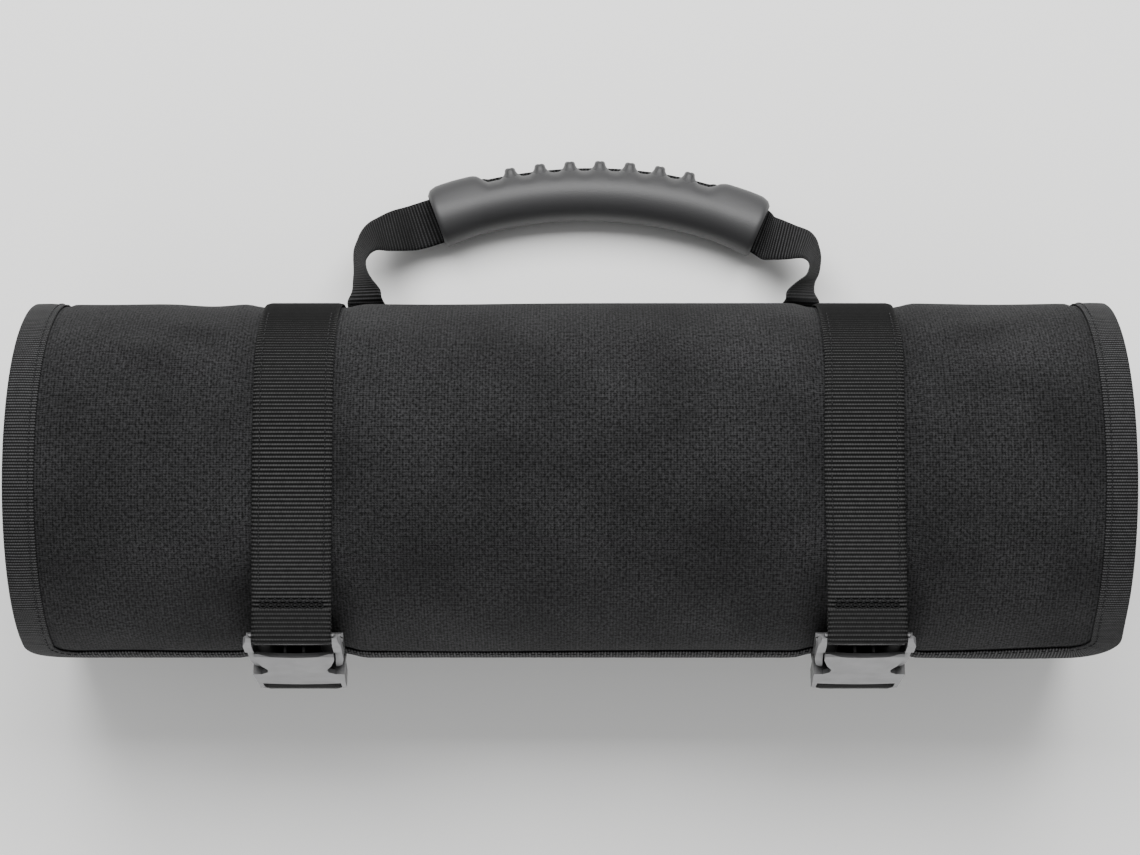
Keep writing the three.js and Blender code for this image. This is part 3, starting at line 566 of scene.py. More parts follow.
def moulded_plastic(colour):
    """Acetal, injection moulded and faintly sparked: satin, with soft highlights on its edges."""
    material, tree, shader, place = surface("moulded acetal", 0.42, 1.48)
    # The mould's sparked grain is about 0.2 mm, drawn at 0.6 mm so that it shows
    grain = node(tree, "TexNoise", {"Vector": place, "Scale": 1600.0, "Detail": 2.0})
    cloudy = node(tree, "TexNoise", {"Vector": place, "Scale": 130.0, "Detail": 4.0})
    tone = node(tree, "Mix",
                {0: cloudy.outputs[0], 6: scaled(colour, 0.6), 7: scaled(colour, 1.4)}, data_type="RGBA")
    # Painted shade: ambient occlusion darkens the moulding's recesses nearly to black, where shade falls
    recess = node(tree, "AmbientOcclusion", {"Distance": 0.012}, samples=8)
    occlusion_shade = node(tree, "MapRange", {0: recess.outputs["AO"], 1: 0.5, 2: 0.86, 3: 0.03, 4: 1.0})
    shaded_tone = node(tree, "VectorMath", {0: tone.outputs[2], 1: occlusion_shade.outputs[0]}, operation="MULTIPLY")
    uneven = node(tree, "MapRange", {0: cloudy.outputs[0], 3: 0.36, 4: 0.5})
    tree.links.new(uneven.outputs[0], shader.inputs["Roughness"])
    link_surface(tree, shader, shaded_tone.outputs[0], grain.outputs[0], 0.12, 0.2 * MM)
    return material


def moulded_rubber(colour):
    """Thermoplastic rubber, injection moulded in a fine-sparked mould: dull, with a broad sheen."""
    material, tree, shader, place = surface("moulded thermoplastic rubber", 0.5, 1.5, specular=0.6)
    # The mould's sparked grain is about 0.3 mm, drawn at 0.6 mm so that it shows
    grain = node(tree, "TexNoise", {"Vector": place, "Scale": 1700.0, "Detail": 3.0})
    cloudy = node(tree, "TexNoise", {"Vector": place, "Scale": 30.0, "Detail": 3.0})
    tone = node(tree, "Mix",
                {0: cloudy.outputs[0], 6: scaled(colour, 0.9), 7: scaled(colour, 1.15)}, data_type="RGBA")
    uneven = node(tree, "MapRange", {0: grain.outputs[0], 3: 0.42, 4: 0.58})
    tree.links.new(uneven.outputs[0], shader.inputs["Roughness"])
    link_surface(tree, shader, tone.outputs[2], grain.outputs[0], 0.25, 0.3 * MM)
    return material


def painted_floor(colour):
    """Matt white emulsion on a board: pale, even and without a shine."""
    material, tree, shader, place = surface("matt white paint", 0.9, 1.45)
    faint = node(tree, "TexNoise", {"Vector": place, "Scale": 3.0, "Detail": 2.0})
    tone = node(tree, "Mix", {0: faint.outputs[0], 6: colour, 7: scaled(colour, 0.98)}, data_type="RGBA")
    link_surface(tree, shader, tone.outputs[2])
    return material


# Cover and its edge tape

def cover_rows():
    """Distances from the flap's edge, close together where the cloth shows."""
    length = panel_length()
    first = np.arange(0, 30, 2.0)
    outer = np.arange(30, 565, 4.0)
    inner = np.arange(565, length - 3, 7.0)
    return np.concatenate([first, outer, inner, [length]])


def on_outer_turn(s):
    return 1 - smoothstep(s, *OUTER_TURN_END)


def cover_body():
    end = half_length()
    zone_start = end - CORNER_ZONE
    s = cover_rows()[:, None]
    x = np.linspace(-end, end, COVER_COLUMNS)[None, :] + 0 * s
    beyond = np.maximum(0, np.abs(x) - zone_start) * (end_of_row(s) - zone_start) / CORNER_ZONE
    x = np.sign(x) * (np.minimum(np.abs(x), zone_start) + beyond)
    s = s + 0 * x
    inset = mm("cover", "tape_width") + TAPE_INSET
    press = (TAPE_THICKNESS + TAPE_GAP) * (1 - smoothstep(edge_distance(x, s), inset, inset + TAPE_EASE))
    front = roll_points(x, s, -press, folds=on_outer_turn(s))
    back = roll_points(x, s, -mm("cover", "panel_thickness"), folds=on_outer_turn(s))
    points, faces = closed_sheet(front, back)
    places = np.stack([x, s], -1).reshape(-1, 2)
    return points, faces, np.concatenate([places, places])


def tape_path():
    """The panel's edge from its inner left corner round the flap to the inner right one: places
    along the roll, distances from the flap's edge, and the direction into the cloth."""
    end = half_length()
    rows = cover_rows()
    side = rows[rows > CORNER_RADIUS + 1][::-1]
    turn = np.radians(np.linspace(0, 90, EDGE_CORNER_STEPS))
    inward, deeper = np.cos(turn), np.sin(turn)
    straight = np.stack([0 * side - end, side, 0 * side + 1, 0 * side], 1)
    corner = np.stack([
        CORNER_RADIUS * (1 - inward) - end, CORNER_RADIUS * (1 - deeper), inward, deeper,
    ], 1)
    left = np.concatenate([straight, corner])
    flap = np.linspace(-end + CORNER_RADIUS, end - CORNER_RADIUS, EDGE_FLAP_STEPS)[1:-1]
    across = np.stack([flap, 0 * flap, 0 * flap, 0 * flap + 1], 1)
    right = (left * [-1, 1, -1, 1])[::-1]
    return np.concatenate([left, across, right]).T


def tape_profile(face, top, bottom, nose):
    """Inset and height of each line of the tape's outer (0) or inner (1) face round the edge."""
    width = mm("cover", "tape_width")
    middle = (top + bottom) / 2
    turn = np.radians(np.linspace(80, -80, 7))
    over, under = (
        [(share * width + more, level + lift[face]) for share, more, *lift in rows]
        for rows, level in ((TAPE_OVER, top), (TAPE_UNDER, bottom))
    )
    return [*over, *((-nose * cos(a), middle + (top - middle) * sin(a)) for a in turn), *under]


def tape_body():
    """Binding tape folded over the panel's edge, with a soft round nose and a puckered sewn line."""
    underside = -mm("cover", "panel_thickness") - TAPE_GAP
    x, s, inward_x, inward_s = tape_path()
    length = distances(np.stack([x, s], 1))
    outer = tape_profile(0, 0.0, underside - TAPE_THICKNESS, TAPE_THICKNESS + TAPE_GAP)
    inner = tape_profile(1, -TAPE_THICKNESS, underside, TAPE_GAP)
    # The tape puckers a little between its stitches, more on its outer face
    pucker = 0.14 * np.sin(length * 2 * pi / 6.4) + 0.1 * np.sin(length * 2 * pi / 17)

    def sheet_of(profile, waved):
        columns = []
        for inset, height in profile:
            lift = height + waved * pucker * smoothstep(inset, -1, mm("cover", "tape_width") * 0.6)
            columns.append(roll_points(
                x + inward_x * inset, s + inward_s * inset, lift, folds=on_outer_turn(s)))
        return np.stack(columns, 1)

    points, faces = closed_sheet(sheet_of(outer, 1.0), sheet_of(inner, 0.5))
    across = distances(np.array(outer))
    places = np.stack(np.broadcast_arrays(across[None, :], length[:, None]), -1).reshape(-1, 2)
    return points, faces, np.concatenate([places, places])


def edge_stitching(material):
    """A row of stitches along the tape's inner edge, on the outer turn."""
    inset = mm("cover", "tape_width") - EDGE_STITCH["inset"]
    x, s, inward_x, inward_s = tape_path()
    path = np.stack([x + inward_x * inset, s + inward_s * inset], -1)[s < EDGE_STITCH["last"]]
    length = distances(path)
    starts = np.arange(1, length[-1] - EDGE_STITCH["pitch"], EDGE_STITCH["pitch"])

    def at(places, height):
        along_x = np.interp(places, length, path[:, 0])
        along_s = np.interp(places, length, path[:, 1])
        return roll_points(along_x, along_s, height, folds=on_outer_turn(along_s))

    halfway = starts + EDGE_STITCH["length"] / 2
    return thread_stitches(
        "edge_stitching", at(starts, 0.0), at(starts + EDGE_STITCH["length"], 0.0),
        at(halfway, 1.0) - at(halfway, 0.0), EDGE_STITCH["radius"], material, "binding_tape")


# Straps

def buckle_flat(t, n):
    """A place on the buckle in the roll's own YZ plane."""
    lean = radians(BUCKLE_ANGLE)
    out = np.array([-sin(lean), cos(lean)])
    along = np.array([-cos(lean), -sin(lean)])
    centre = roll_radius() + BUCKLE_CLEARANCE + BUCKLE_THICKNESS / 2
    return np.array([0, axis_height()]) + out * (centre + n) + along * t


def taut_band(points):
    """Outline of flat points as a taut band round them."""
    ordered = sorted(map(tuple, points))

    def half_band(row):
        band = []
        for point in row:
            while len(band) > 1 and ((band[-1][0] - band[-2][0]) * (point[1] - band[-2][1])
                                     - (band[-1][1] - band[-2][1]) * (point[0] - band[-2][0])) <= 1e-6:
                band.pop()
            band.append(point)
        return band[:-1]

    return np.array(half_band(ordered) + half_band(ordered[::-1]))


def square_to(vector):
    return np.array([-vector[1], vector[0]])


def arc(centre, radius, direction, turn, steps):
    start = atan2(direction[1], direction[0])
    angles = start + turn * np.arange(steps + 1) / steps
    return centre + radius * np.stack([np.cos(angles), np.sin(angles)], -1)


def strap_line(side):
    """Middle line of a strap: folded end, male bar, taut round the roll, female bar, tucked end."""
    thickness = mm("straps", "thickness")
    male_bar = buckle_flat(MALE_BAR_PLACE, 0)
    female_bar = buckle_flat(FEMALE_BAR_PLACE, FEMALE_BAR_RISE)
    male_loop = MALE_BAR_RADIUS + STRAP_GAP + thickness / 2
    female_loop = FEMALE_BAR_RADIUS + STRAP_GAP + thickness / 2
    s = np.arange(0, 359, 1.5) * arc_of_degree()
    centre = strap_centre(side, FLAP_ANGLE - s / arc_of_degree())
    around = roll_points(centre, s, STRAP_GAP + thickness / 2)[:, 1:]
    upper = around[around[:, 1] > axis_height()]
    lean = np.arctan2(upper[:, 1] - male_bar[1], upper[:, 0] - male_bar[0])
    touching = upper[np.argmax(lean)]
    leaving = (male_bar - touching) / np.linalg.norm(male_bar - touching)
    below = square_to(leaving)
    start = male_bar + below * male_loop
    circle = arc(female_bar, female_loop, np.array([0.0, 1.0]), 2 * pi, 48)[:-1]
    band = taut_band(np.concatenate([around, [start], circle]))
    first = int(np.argmin(np.linalg.norm(band - start, axis=1)))
    band = np.roll(band, -first, axis=0)
    near = female_loop + 0.05
    if np.linalg.norm(band[1] - female_bar) < near:
        band = np.roll(band, -1, axis=0)[::-1]
    main = band[np.linalg.norm(band - female_bar, axis=1) > near]
    folded = thickness + STRAP_GAP
    tail = start - below * (folded + FOLDED_END_LIFT) - leaving * FOLDED_END
    first_loop = arc(male_bar, male_loop, -below, pi, 14)[:-1]
    arriving = (female_bar - main[-1]) / np.linalg.norm(female_bar - main[-1])
    outward = square_to(arriving)
    last_loop = arc(female_bar, female_loop, outward, -pi, 14)
    outer = female_bar + outward * female_loop
    tucked = outer - outward * folded - arriving * TUCKED_END
    return np.concatenate([[tail], first_loop, main, last_loop, [tucked]])


def even_steps(line, step):
    """A flat line cut into steps of one length, with the distance to each point."""
    length = distances(line)
    places = np.linspace(0, length[-1], int(length[-1] / step) + 1)
    return np.stack([np.interp(places, length, line[:, k]) for k in range(line.shape[1])], -1), places


def smooth_line(line, rounds):
    """The line with its kinks eased, its ends kept."""
    for _ in range(rounds):
        line = np.concatenate([line[:1], (line[:-2] + 2 * line[1:-1] + line[2:]) / 4, line[-1:]])
    return line


def ribbed_sheet(centres, across, normals, places, width, thickness, rib_pitch, rib_depth, columns):
    """Webbing along a line: ribs across it on both faces, and thin rounded edges."""
    w = np.linspace(-1, 1, columns)
    w = np.sign(w) * np.abs(w) ** COLUMN_CROWDING
    inside = 1 - smoothstep(np.abs(w), SELVAGE_START, 1.0)
    rib = 0.5 + 0.5 * np.cos(places * 2 * pi / rib_pitch)
    ribbed = SELVAGE_RIBS + (1 - SELVAGE_RIBS) * inside
    thick = SELVAGE_THICKNESS + (1 - SELVAGE_THICKNESS) * inside
    half = thickness / 2 - rib_depth * (1 - rib)[:, None] * ribbed[None, :]
    half = half * thick[None, :]
    side = centres[:, None] + across[:, None] * (w * width / 2)[None, :, None]
    front = side + normals[:, None] * half[..., None]
    back = side - normals[:, None] * half[..., None]
    points, faces = closed_sheet(front, back)
    flat = np.stack(np.broadcast_arrays((w * width / 2)[None, :], places[:, None]), -1).reshape(-1, 2)
    return points, faces, np.concatenate([flat, flat])


def strap_frame(side, step):
    """Centres, cross directions, outward directions and distances along a strap."""
    line, places = even_steps(strap_line(side), step)
    line = smooth_line(line, 16)
    angle = np.degrees(np.arctan2(-line[:, 0], line[:, 1] - axis_height()))
    centres = np.stack([strap_centre(side, angle), line[:, 0], line[:, 1]], -1)
    along = np.gradient(line, axis=0)
    along /= np.linalg.norm(along, axis=1)[:, None]
    normals = np.stack([np.zeros(len(line)), -along[:, 1], along[:, 0]], -1)
    across = np.tile([1.0, 0.0, 0.0], (len(line), 1))
    return centres, across, normals, places, angle


def add_strap(side, webbing, thread):
    width = mm("straps", "width")
    thickness = mm("straps", "thickness")
    rib_pitch = mm("straps", "rib_pitch")
    centres, across, normals, places, angle = strap_frame(side, rib_pitch / RIB_STEPS)
    points, faces, flat = ribbed_sheet(
        centres, across, normals, places, width, thickness, rib_pitch, STRAP_RIB_DEPTH, STRAP_COLUMNS)
    piece = add_piece(f"strap_webbing_{side}", points, faces, flat, webbing, "webbing", [f"strap_{side}"])
    out = normals * np.sign((normals[:, 1:] * (centres[:, 1:] - [0, axis_height()])).sum(1))[:, None]
    past_fold = places > FOLDED_END + 12
    sewn = np.flatnonzero(past_fold & (angle > STITCH_ANGLES[0]) & (angle < STITCH_ANGLES[1]))
    starts, ends, lifts = [], [], []
    row = width / 2 - STRAP_STITCH["inset"]
    run = np.arange(places[sewn[0]], places[sewn[-1]] - STRAP_STITCH["pitch"], STRAP_STITCH["pitch"])
    height = thickness / 2 - 0.1

    def at(place, offset):
        middle = np.array([np.interp(place, places, centres[:, k]) for k in range(3)])
        lift = np.array([np.interp(place, places, out[:, k]) for k in range(3)])
        return middle + lift * height + np.array([offset, 0, 0]), lift

    for offset in (-row, row):
        for place in run:
            start, lift = at(place, offset)
            starts.append(start)
            ends.append(at(place + STRAP_STITCH["length"], offset)[0])
            lifts.append(lift)
    # A band of crossed stitches holds the folded-back end
    upper = np.flatnonzero(past_fold & (np.abs(angle) < 60))[::-1]
    tack_start = float(np.interp(TACK_ANGLE, angle[upper], places[upper]))
    crossings = np.linspace(-row, row, TACK_CROSSINGS + 1)
    for near in tack_start + np.arange(TACK_ROWS) * TACK_ROW_LENGTH:
        far = near + TACK_ROW_LENGTH
        for left, right in zip(crossings[:-1], crossings[1:]):
            for first, second in ((near, far), (far, near)):
                start, lift = at(first, left)
                starts.append(start)
                ends.append(at(second, right)[0])
                lifts.append(lift)
    thread_stitches(
        f"strap_stitching_{side}", starts, ends, lifts, STRAP_STITCH["radius"], thread, "webbing")
    return piece


# Handle

def grip_radius():
    chord = mm("handle", "grip_length")
    return chord ** 2 / (8 * GRIP_SAGITTA) + GRIP_SAGITTA / 2


def grip_half_angle():
    chord = mm("handle", "grip_length")
    return np.arcsin(chord / 2 / grip_radius())


def grip_arc_length():
    return 2 * grip_half_angle() * grip_radius()


def grip_points(share, outward, upward):
    """Points in the grip, followed by its share from the left end."""
    angle = (2 * np.asarray(share, dtype=float) - 1) * grip_half_angle()
    radius = grip_radius() + outward
    local_x = radius * np.sin(angle)
    local_y = radius * np.cos(angle) - grip_radius() + GRIP_SAGITTA
    tilt = radians(GRIP_TILT)
    x = GRIP_CENTRE[0] + local_x * cos(tilt) - local_y * sin(tilt)
    y = GRIP_CENTRE[1] + local_x * sin(tilt) + local_y * cos(tilt)
    rest = GRIP_HEIGHT * GRIP_END_FLARE / 2
    return np.stack(np.broadcast_arrays(x, y, rest + upward), -1)


def handle_side(side):
    """Centres and widthwise directions of the webbing, from its foot on the roll to the grip."""
    width = mm("handle", "webbing_width")
    inward = 1 if side == "left" else -1
    grip_end = grip_points(0.0 if side == "left" else 1.0, 0, 0)
    edge = STRAP_REACH[side] + inward * (mm("straps", "width") / 2 + 1)
    foot = edge + inward * width / 2
    centres, turns, headings = [], [], []
    for angle, lift, turn in FOOT_ROWS:
        s = (FLAP_ANGLE - angle) * arc_of_degree()
        height = mm("handle", "webbing_thickness") / 2 + FOOT_CLEARANCE + lift
        centres.append(roll_points(foot, s, height))
        turns.append(float(turn))
        headings.append(0.0)
    for out, blend, bow, height, turn, heading in HANDLE_ROWS:
        centres.append(np.array([
            edge + (grip_end[0] - edge) * blend + inward * bow * width,
            roll_radius() + (grip_end[1] - roll_radius()) * out,
            height * HANDLE_RISE,
        ]))
        turns.append(float(turn))
        headings.append(float(heading))
    centres.append(grip_end)
    turns.append(0.0)
    headings.append(GRIP_HEADING)
    places = np.linspace(0, len(centres) - 1, 320)
    curve = centripetal_curve(np.array(centres), places)
    spread = 16
    kernel = np.hanning(2 * spread + 1)
    kernel /= kernel.sum()
    turn, heading = (
        np.convolve(np.pad(np.interp(places, np.arange(len(centres)), row), spread, mode="edge"),
                    kernel, mode="valid")
        for row in (np.radians(turns), np.radians(headings))
    )
    level = np.cos(turn)
    return curve, np.stack([inward * np.cos(heading) * level, np.sin(heading) * level, np.sin(turn)], -1)


def centripetal_curve(points, places):
    """Points on a centripetal curve through the given ones, at places counted in points."""
    padded = np.concatenate([[2 * points[0] - points[1]], points, [2 * points[-1] - points[-2]]])
    curve = []
    for place in places:
        k = min(int(place), len(points) - 2)
        p = padded[k:k + 4]
        gaps = np.linalg.norm(np.diff(p, axis=0), axis=1) ** 0.5
        knots = np.concatenate([[0], np.cumsum(gaps)])
        t = knots[1] + (place - k) * (knots[2] - knots[1])
        a = [p[j] + (p[j + 1] - p[j]) * (t - knots[j]) / (knots[j + 1] - knots[j]) for j in range(3)]
        b = [a[j] + (a[j + 1] - a[j]) * (t - knots[j]) / (knots[j + 2] - knots[j]) for j in range(2)]
        curve.append(b[0] + (b[1] - b[0]) * (t - knots[1]) / (knots[2] - knots[1]))
    return np.array(curve)


def add_handle_webbing(webbing):
    width, thickness, rib_pitch = (
        mm("handle", name) for name in ("webbing_width", "webbing_thickness", "rib_pitch"))
    left, left_across = handle_side("left")
    right, right_across = handle_side("right")
    shares = np.linspace(0, 1, 180)[1:-1]
    middle = grip_points(shares, webbing_shift(shares), 0)
    middle_across = grip_points(shares, webbing_shift(shares) - 1, 0) - middle
    centres = np.concatenate([left, middle, right[::-1]])
    across = np.concatenate([left_across, middle_across, right_across[::-1]])
    length = distances(centres)
    wanted = np.arange(0, length[-1], rib_pitch / RIB_STEPS)
    centres, across = (
        smooth_line(np.stack([np.interp(wanted, length, row) for row in part.T], -1), 10)
        for part in (centres, across)
    )
    across /= np.linalg.norm(across, axis=1)[:, None]
    tangents = np.gradient(centres, axis=0)
    tangents /= np.linalg.norm(tangents, axis=1)[:, None]
    normals = np.cross(across, tangents)
    normals /= np.linalg.norm(normals, axis=1)[:, None]
    points, faces, flat = ribbed_sheet(
        centres, across, normals, wanted, width, thickness, rib_pitch, HANDLE_RIB_DEPTH, HANDLE_COLUMNS)
    return add_piece("carrying_webbing", points, faces, flat, webbing, "webbing", ["handle_webbing"])


def open_zone(share):
    """How far a place on the grip is into the part where its slit is open."""
    from_end = np.minimum(share, 1 - np.asarray(share)) * grip_arc_length()
    return smoothstep(from_end, SLEEVE_LENGTH - 2, SLEEVE_LENGTH + 5)


def grip_reach(share):
    table = np.array(GRIP_REACH)
    return np.interp(share, table[:, 0], table[:, 1])


def webbing_shift(share):
    """The webbing lies against the slit's open side, so its edge shows between the knobs."""
    return open_zone(share) * (grip_reach(share) - mm("handle", "webbing_width") / 2)


def grip_body():
    """Rubber grip: a slit sleeve whose slit is open along the middle, with knobs between its lips."""
    length = grip_arc_length()
    width = mm("handle", "grip_width")
    slot_half = mm("handle", "webbing_thickness") / 2 + SLIT_GAP
    inner = mm("handle", "webbing_width") / 2 + THROAT_GAP
    end_shares = np.array([0.0, 0.25, 0.8, 1.6, 3.0, 5.0]) / length
    even_shares = np.linspace(8 / length, 1 - 8 / length, 160)
    knobs = knob_places()
    rings = []
    for share in [*end_shares, *even_shares, *(1 - end_shares[::-1])]:
        from_end = min(share, 1 - share) * length
        flare = 1 + (GRIP_END_FLARE - 1) * (1 - smoothstep(from_end, 0, SLEEVE_LENGTH))
        rounding = 1 - END_ROUNDING * (1 - smoothstep(from_end, 0, END_ROUNDING_LENGTH))
        opened = float(open_zone(share))
        to_knob = np.abs(knobs - share).min() * length
        lip = CLOSED_SLIT + (slot_half - CLOSED_SLIT) * opened
        half_w = width / 2 * flare * rounding
        half_h = GRIP_HEIGHT / 2 * flare * rounding
        reach = float(grip_reach(share)) * rounding
        reach -= SCALLOP_DEPTH * opened * smoothstep(to_knob, *SCALLOP_EASE)
        lip_angle = np.arcsin(lip / half_h)
        angles = np.linspace(lip_angle, 2 * pi - lip_angle, 60)
        near_rim = smoothstep(np.cos(angles), 0.3, 0.92)
        skin = np.stack([(half_w + (reach - half_w) * near_rim) * np.cos(angles), half_h * np.sin(angles)], 1)
        # The throat that holds the webbing opens into a mouth at the grip's end
        mouth = 1 - smoothstep(from_end, 0, MOUTH_LENGTH)
        throat_w = inner + (half_w - MOUTH_WALL - inner) * mouth
        throat_h = slot_half + (half_h * MOUTH_HEIGHT - slot_half) * mouth
        front = max(reach - LIP_WALL, throat_w)
        upper = np.array([
            (front, lip), (front * 0.97, max(lip, throat_h * 0.5)), (throat_w * 0.9, throat_h * 0.85),
            (throat_w * 0.5, throat_h), (0, throat_h), (-throat_w * 0.5, throat_h),
            (-throat_w * 0.9, throat_h * 0.85),
        ])
        ring = np.concatenate([skin, upper * [1, -1], [[-throat_w, 0]], upper[::-1]])
        rings.append(grip_points(share, ring[:, 0], ring[:, 1]))
    points, faces = closed_tube(np.array(rings))
    return points, faces, np.zeros((len(points), 2))


def knob_places():
    count = bpy.context.scene.tool_roll_handle.knob_count
    step = KNOB_PITCH / grip_arc_length()
    return 0.5 + (np.arange(count) - (count - 1) / 2) * step


def knob_body(place):
    """One rounded knob that stands through the grip's slit, flared at its foot."""
    half_size = mm("handle", "knob_size") / 2
    reach = float(grip_reach(place))
    turn = np.linspace(0, 2 * pi, 28, endpoint=False)
    round_x, round_z = (
        np.sign(wave) * np.abs(wave) ** KNOB_SQUARENESS for wave in (np.cos(turn), np.sin(turn)))
    rings = []
    for rise, scale in KNOB_LEVELS:
        along = round_x * half_size * scale
        upward = round_z * KNOB_HALF_HEIGHT * (0.6 + 0.4 * scale)
        sunk = (np.sqrt(np.maximum(0, 1 - (upward / (GRIP_HEIGHT / 2)) ** 2)) - 1) * reach
        rings.append(grip_points(place + along / grip_arc_length(), reach + rise + sunk * 0.9, upward))
    points, faces = closed_tube(np.array(rings))
    return points, faces, np.zeros((len(points), 2))


# Sizes and colours that a user would change

def colour_property(name, description, hex_value):
    return FloatVectorProperty(
        name=name, description=description, subtype="COLOR", size=4, min=0, max=1,
        default=linear_colour(hex_value))


def length_property(name, description, default, low, high):
    return FloatProperty(
        name=name, description=description, default=default, min=low, max=high,
        subtype="DISTANCE", unit="LENGTH")


cover_low, cover_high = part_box("roll_panel")


class ToolRollCoverSizes(bpy.types.PropertyGroup):
    length: length_property(
        "Length", "Length of the roll between the panel's ends", cover_high[0] - cover_low[0], 0.2, 1.0)
    radius: length_property("Radius", "Radius of the outer turn", 0.090, 0.05, 0.2)
    panel_thickness: length_property(
        "Panel thickness", "Thickness of the cloth with its lining", 0.003, 0.001, 0.006)
    tape_width: length_property("Tape width", "Width of the edge tape on one side", 0.014, 0.006, 0.03)
    cloth_colour: colour_property("Cloth", "Colour of the cloth's raised threads", 0x303031)
    tape_colour: colour_property("Edge tape", "Colour of the edge tape's ribs", 0x434344)


class ToolRollStrapSizes(bpy.types.PropertyGroup):
    width: length_property("Width", "Width of the strap webbing", 0.038, 0.02, 0.05)
    thickness: length_property("Thickness", "Thickness of the strap webbing", 0.002, 0.001, 0.003)
    rib_pitch: length_property("Rib pitch", "Distance between the webbing's ribs", 0.002, 0.001, 0.004)
    edge_rounding: length_property(
        "Buckle edge rounding", "Radius of the buckles' moulded edges", 0.0006, 0.0001, 0.0015)
    webbing_colour: colour_property("Webbing", "Colour of the strap webbing's ribs", 0x393939)
    thread_colour: colour_property("Thread", "Colour of the sewing thread", 0x060607)
    buckle_colour: colour_property("Buckles", "Colour of the buckles' plastic", 0x6E6E6F)


class ToolRollHandleSizes(bpy.types.PropertyGroup):
    webbing_width: length_property("Webbing width", "Width of the handle webbing", 0.025, 0.015, 0.03)
    webbing_thickness: length_property(
        "Webbing thickness", "Thickness of the handle webbing", 0.0018, 0.001, 0.003)
    rib_pitch: length_property(
        "Rib pitch", "Distance between the ribs of the handle webbing", 0.0018, 0.001, 0.004)
    grip_length: length_property("Grip length", "Straight length of the grip", 0.174, 0.1, 0.2)
    grip_width: length_property("Grip width", "Width of the grip across its middle", 0.028, 0.027, 0.04)
    knob_count: IntProperty(
        name="Knobs", description="Number of knobs in the grip's slit", default=7, min=1, max=9)
    knob_size: length_property("Knob size", "Length of a knob along the grip", 0.0058, 0.003, 0.01)
    webbing_colour: colour_property("Webbing", "Colour of the handle webbing's ribs", 0x323233)
    rubber_colour: colour_property("Rubber", "Colour of the grip's rubber", 0x2C2C2D)


class ToolRollStageSettings(bpy.types.PropertyGroup):
    key_power: FloatProperty(
        name="Key light", description="Power of the large soft light above the handle", subtype="POWER",
        unit="POWER", default=44.0, min=0, max=200)
    fill_power: FloatProperty(
        name="Fill light", description="Power of the soft light on the buckles' side", subtype="POWER",
        unit="POWER", default=20.0, min=0, max=200)
    floor_colour: colour_property("Floor", "Colour of the floor", 0xF8F8F7)
    room_light: FloatProperty(
        name="Room light", description="Strength of the even light from all sides", default=0.5, min=0, max=3)


# Operators

class TOOLROLL_OT_cover(bpy.types.Operator):
    """Builds the rolled cloth panel, its edge tape and the tape's stitches"""
    bl_idname = "tool_roll.cover"
    bl_label = "Cover"

    def execute(self, context):
        sizes = context.scene.tool_roll_cover
        canvas = coated_canvas(THREAD_GAP_SHADE, sizes.cloth_colour)
        tape = ribbed_webbing(
            "woven polyester edge tape", THREAD_GAP_SHADE, sizes.tape_colour, 1.5, 1.2, 0.2)
        thread = sewing_thread(context.scene.tool_roll_straps.thread_colour)
        cover = add_piece("rolled_cover", *cover_body(), canvas, "cloth", ["roll_panel"])
        binding = add_piece("edge_tape", *tape_body(), tape, "binding_tape", ["edge_binding"])
        stitches = edge_stitching(thread)
        return {"FINISHED"}


class TOOLROLL_OT_straps(bpy.types.Operator):
    """Builds the two webbing straps with their sewing"""
    bl_idname = "tool_roll.straps"
    bl_label = "Straps"

    def execute(self, context):
        straps = context.scene.tool_roll_straps
        webbing = ribbed_webbing("woven polyester webbing", THREAD_GAP_SHADE, straps.webbing_colour,
                                 mm("straps", "rib_pitch"), 1.3, 0.25)
        thread = sewing_thread(straps.thread_colour)
        for side in SIDES:
            add_strap(side, webbing, thread)
        return {"FINISHED"}


class TOOLROLL_OT_buckles(bpy.types.Operator):
    """Finishes the side-release buckles with moulded plastic and rounded edges"""
    bl_idname = "tool_roll.buckles"
    bl_label = "Buckles"

    def execute(self, context):
        straps = context.scene.tool_roll_straps
        plastic = moulded_plastic(straps.buckle_colour)
        for name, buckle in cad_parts.items():
            if not name.startswith("buckle"):
                continue
            buckle.data.materials.clear()
            buckle.data.materials.append(plastic)
            bevel = buckle.modifiers.new("moulded edges", "BEVEL")
            bevel.width = straps.edge_rounding
            bevel.segments = 3
            bevel.limit_method = "ANGLE"
            bevel.angle_limit = radians(32)
            bevel.harden_normals = True
        return {"FINISHED"}


class TOOLROLL_OT_handle(bpy.types.Operator):
    """Builds the carrying handle: its webbing and the rubber grip with knobs"""
    bl_idname = "tool_roll.handle"
    bl_label = "Handle"

    def execute(self, context):
        handle = context.scene.tool_roll_handle
        webbing = ribbed_webbing("woven polyester handle webbing", THREAD_GAP_SHADE, handle.webbing_colour,
                                 mm("handle", "rib_pitch"), 1.3, 0.22)
        rubber = moulded_rubber(handle.rubber_colour)
        add_handle_webbing(webbing)
        knobs = [knob_body(place) for place in knob_places()]
        add_piece("rubber_grip", *joined([grip_body(), *knobs]), rubber, "grip_rubber", ["handle_grip"])
        return {"FINISHED"}


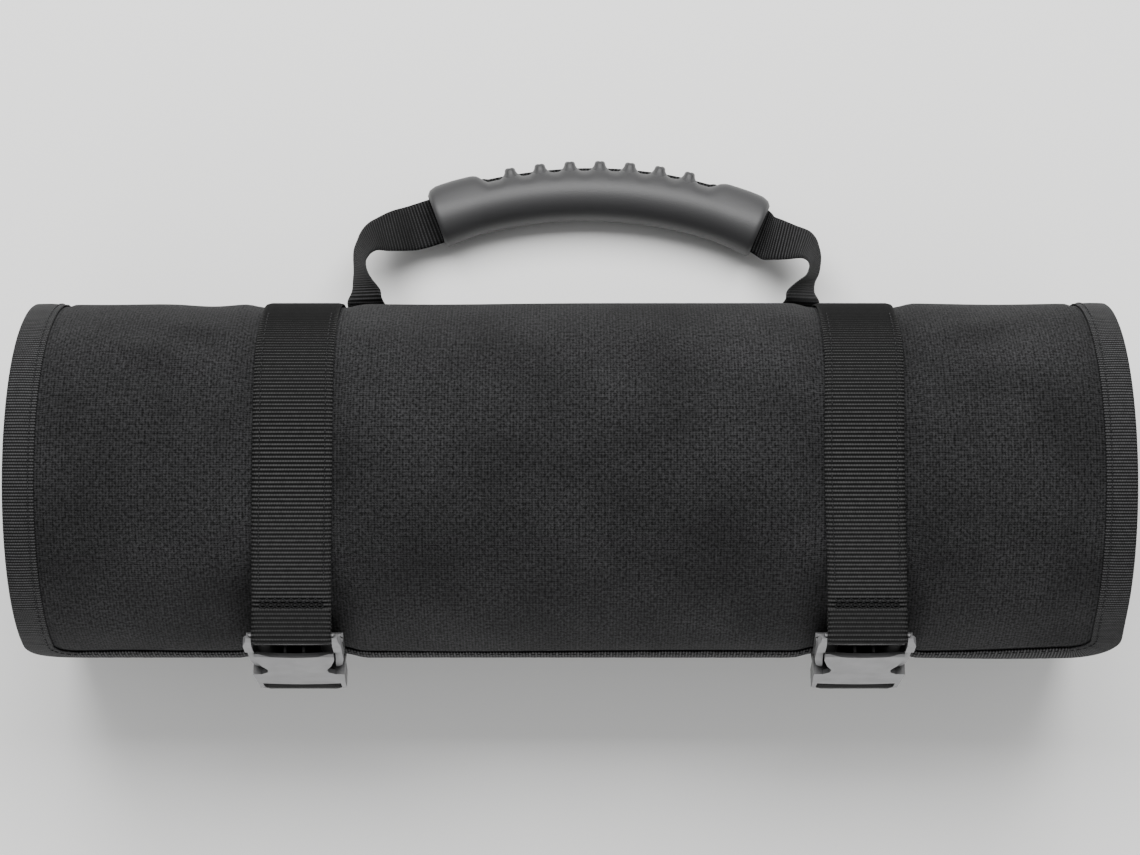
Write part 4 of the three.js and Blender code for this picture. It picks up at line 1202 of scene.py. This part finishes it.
class TOOLROLL_OT_stage(bpy.types.Operator):
    """Builds the floor, the soft lights and the camera"""
    bl_idname = "tool_roll.stage"
    bl_label = "Stage"

    def execute(self, context):
        stage = context.scene.tool_roll_stage
        half = 4.0
        corners = [(-half, -half, 0), (half, -half, 0), (half, half, 0), (-half, half, 0)]
        mesh = bpy.data.meshes.new("floor")
        mesh.from_pydata(corners, [], [(0, 1, 2, 3)])
        mesh.materials.append(painted_floor(stage.floor_colour))
        floor = bpy.data.objects.new("floor", mesh)
        context.scene.collection.objects.link(floor)
        add_softbox("key light", (0.0, 0.85, 1.25), 1.6, 1.0, stage.key_power)
        add_softbox("fill light", (0.0, -1.5, 0.28), 1.8, 0.5, stage.fill_power)
        world = bpy.data.worlds.new("even white room")
        world.use_nodes = True
        background = world.node_tree.nodes["Background"]
        background.inputs["Color"].default_value = linear_colour(0xFFFFFF)
        background.inputs["Strength"].default_value = stage.room_light
        context.scene.world = world
        add_camera()
        return {"FINISHED"}


def add_softbox(name, place, width, height, power):
    light = bpy.data.lights.new(name, "AREA")
    light.shape = "RECTANGLE"
    light.size = width
    light.size_y = height
    light.energy = power
    box = bpy.data.objects.new(name, light)
    box.location = place
    box.rotation_euler = (Vector((0, 0, 0.08)) - Vector(place)).to_track_quat("-Z", "Y").to_euler()
    bpy.context.scene.collection.objects.link(box)


def add_camera():
    """Looks down at the bag from a little towards its buckles, 1.3 m above the roll."""
    camera = bpy.data.cameras.new("camera")
    camera.sensor_width = 36.0
    camera.lens = 87.1
    camera.clip_start = 0.05
    holder = bpy.data.objects.new("camera", camera)
    holder.location = (0, -0.134184, 1.480555)
    holder.rotation_euler = (radians(6.6), 0, 0)
    bpy.context.scene.collection.objects.link(holder)
    bpy.context.scene.camera = holder


class TOOLROLL_PT_parts(bpy.types.Panel):
    """Lists the bag's parts, with their sizes"""
    bl_label = "Tool roll"
    bl_idname = "TOOLROLL_PT_parts"
    bl_space_type = "VIEW_3D"
    bl_region_type = "UI"
    bl_category = "Tool roll"

    def draw(self, context):
        for operator, settings in PANEL_ROWS:
            box = self.layout.box()
            box.operator(operator)
            group = getattr(context.scene, settings)
            for name in group.bl_rna.properties.keys():
                if name not in ("name", "rna_type"):
                    box.prop(group, name)


PANEL_ROWS = (
    ("tool_roll.cover", "tool_roll_cover"),
    ("tool_roll.straps", "tool_roll_straps"),
    ("tool_roll.buckles", "tool_roll_straps"),
    ("tool_roll.handle", "tool_roll_handle"),
    ("tool_roll.stage", "tool_roll_stage"),
)

SETTINGS = {
    "tool_roll_cover": ToolRollCoverSizes,
    "tool_roll_straps": ToolRollStrapSizes,
    "tool_roll_handle": ToolRollHandleSizes,
    "tool_roll_stage": ToolRollStageSettings,
}

CLASSES = (
    *SETTINGS.values(), TOOLROLL_OT_cover, TOOLROLL_OT_straps, TOOLROLL_OT_buckles, TOOLROLL_OT_handle,
    TOOLROLL_OT_stage, TOOLROLL_PT_parts,
)


def register():
    for made in CLASSES:
        bpy.utils.register_class(made)
    for name, group in SETTINGS.items():
        setattr(bpy.types.Scene, name, PointerProperty(type=group))


def unregister():
    for name in SETTINGS:
        delattr(bpy.types.Scene, name)
    for made in reversed(CLASSES):
        bpy.utils.unregister_class(made)


def main():
    register()
    bpy.ops.tool_roll.stage()
    bpy.ops.tool_roll.cover()
    bpy.ops.tool_roll.straps()
    bpy.ops.tool_roll.buckles()
    bpy.ops.tool_roll.handle()
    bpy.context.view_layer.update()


if __name__ == "__main__":
    main()
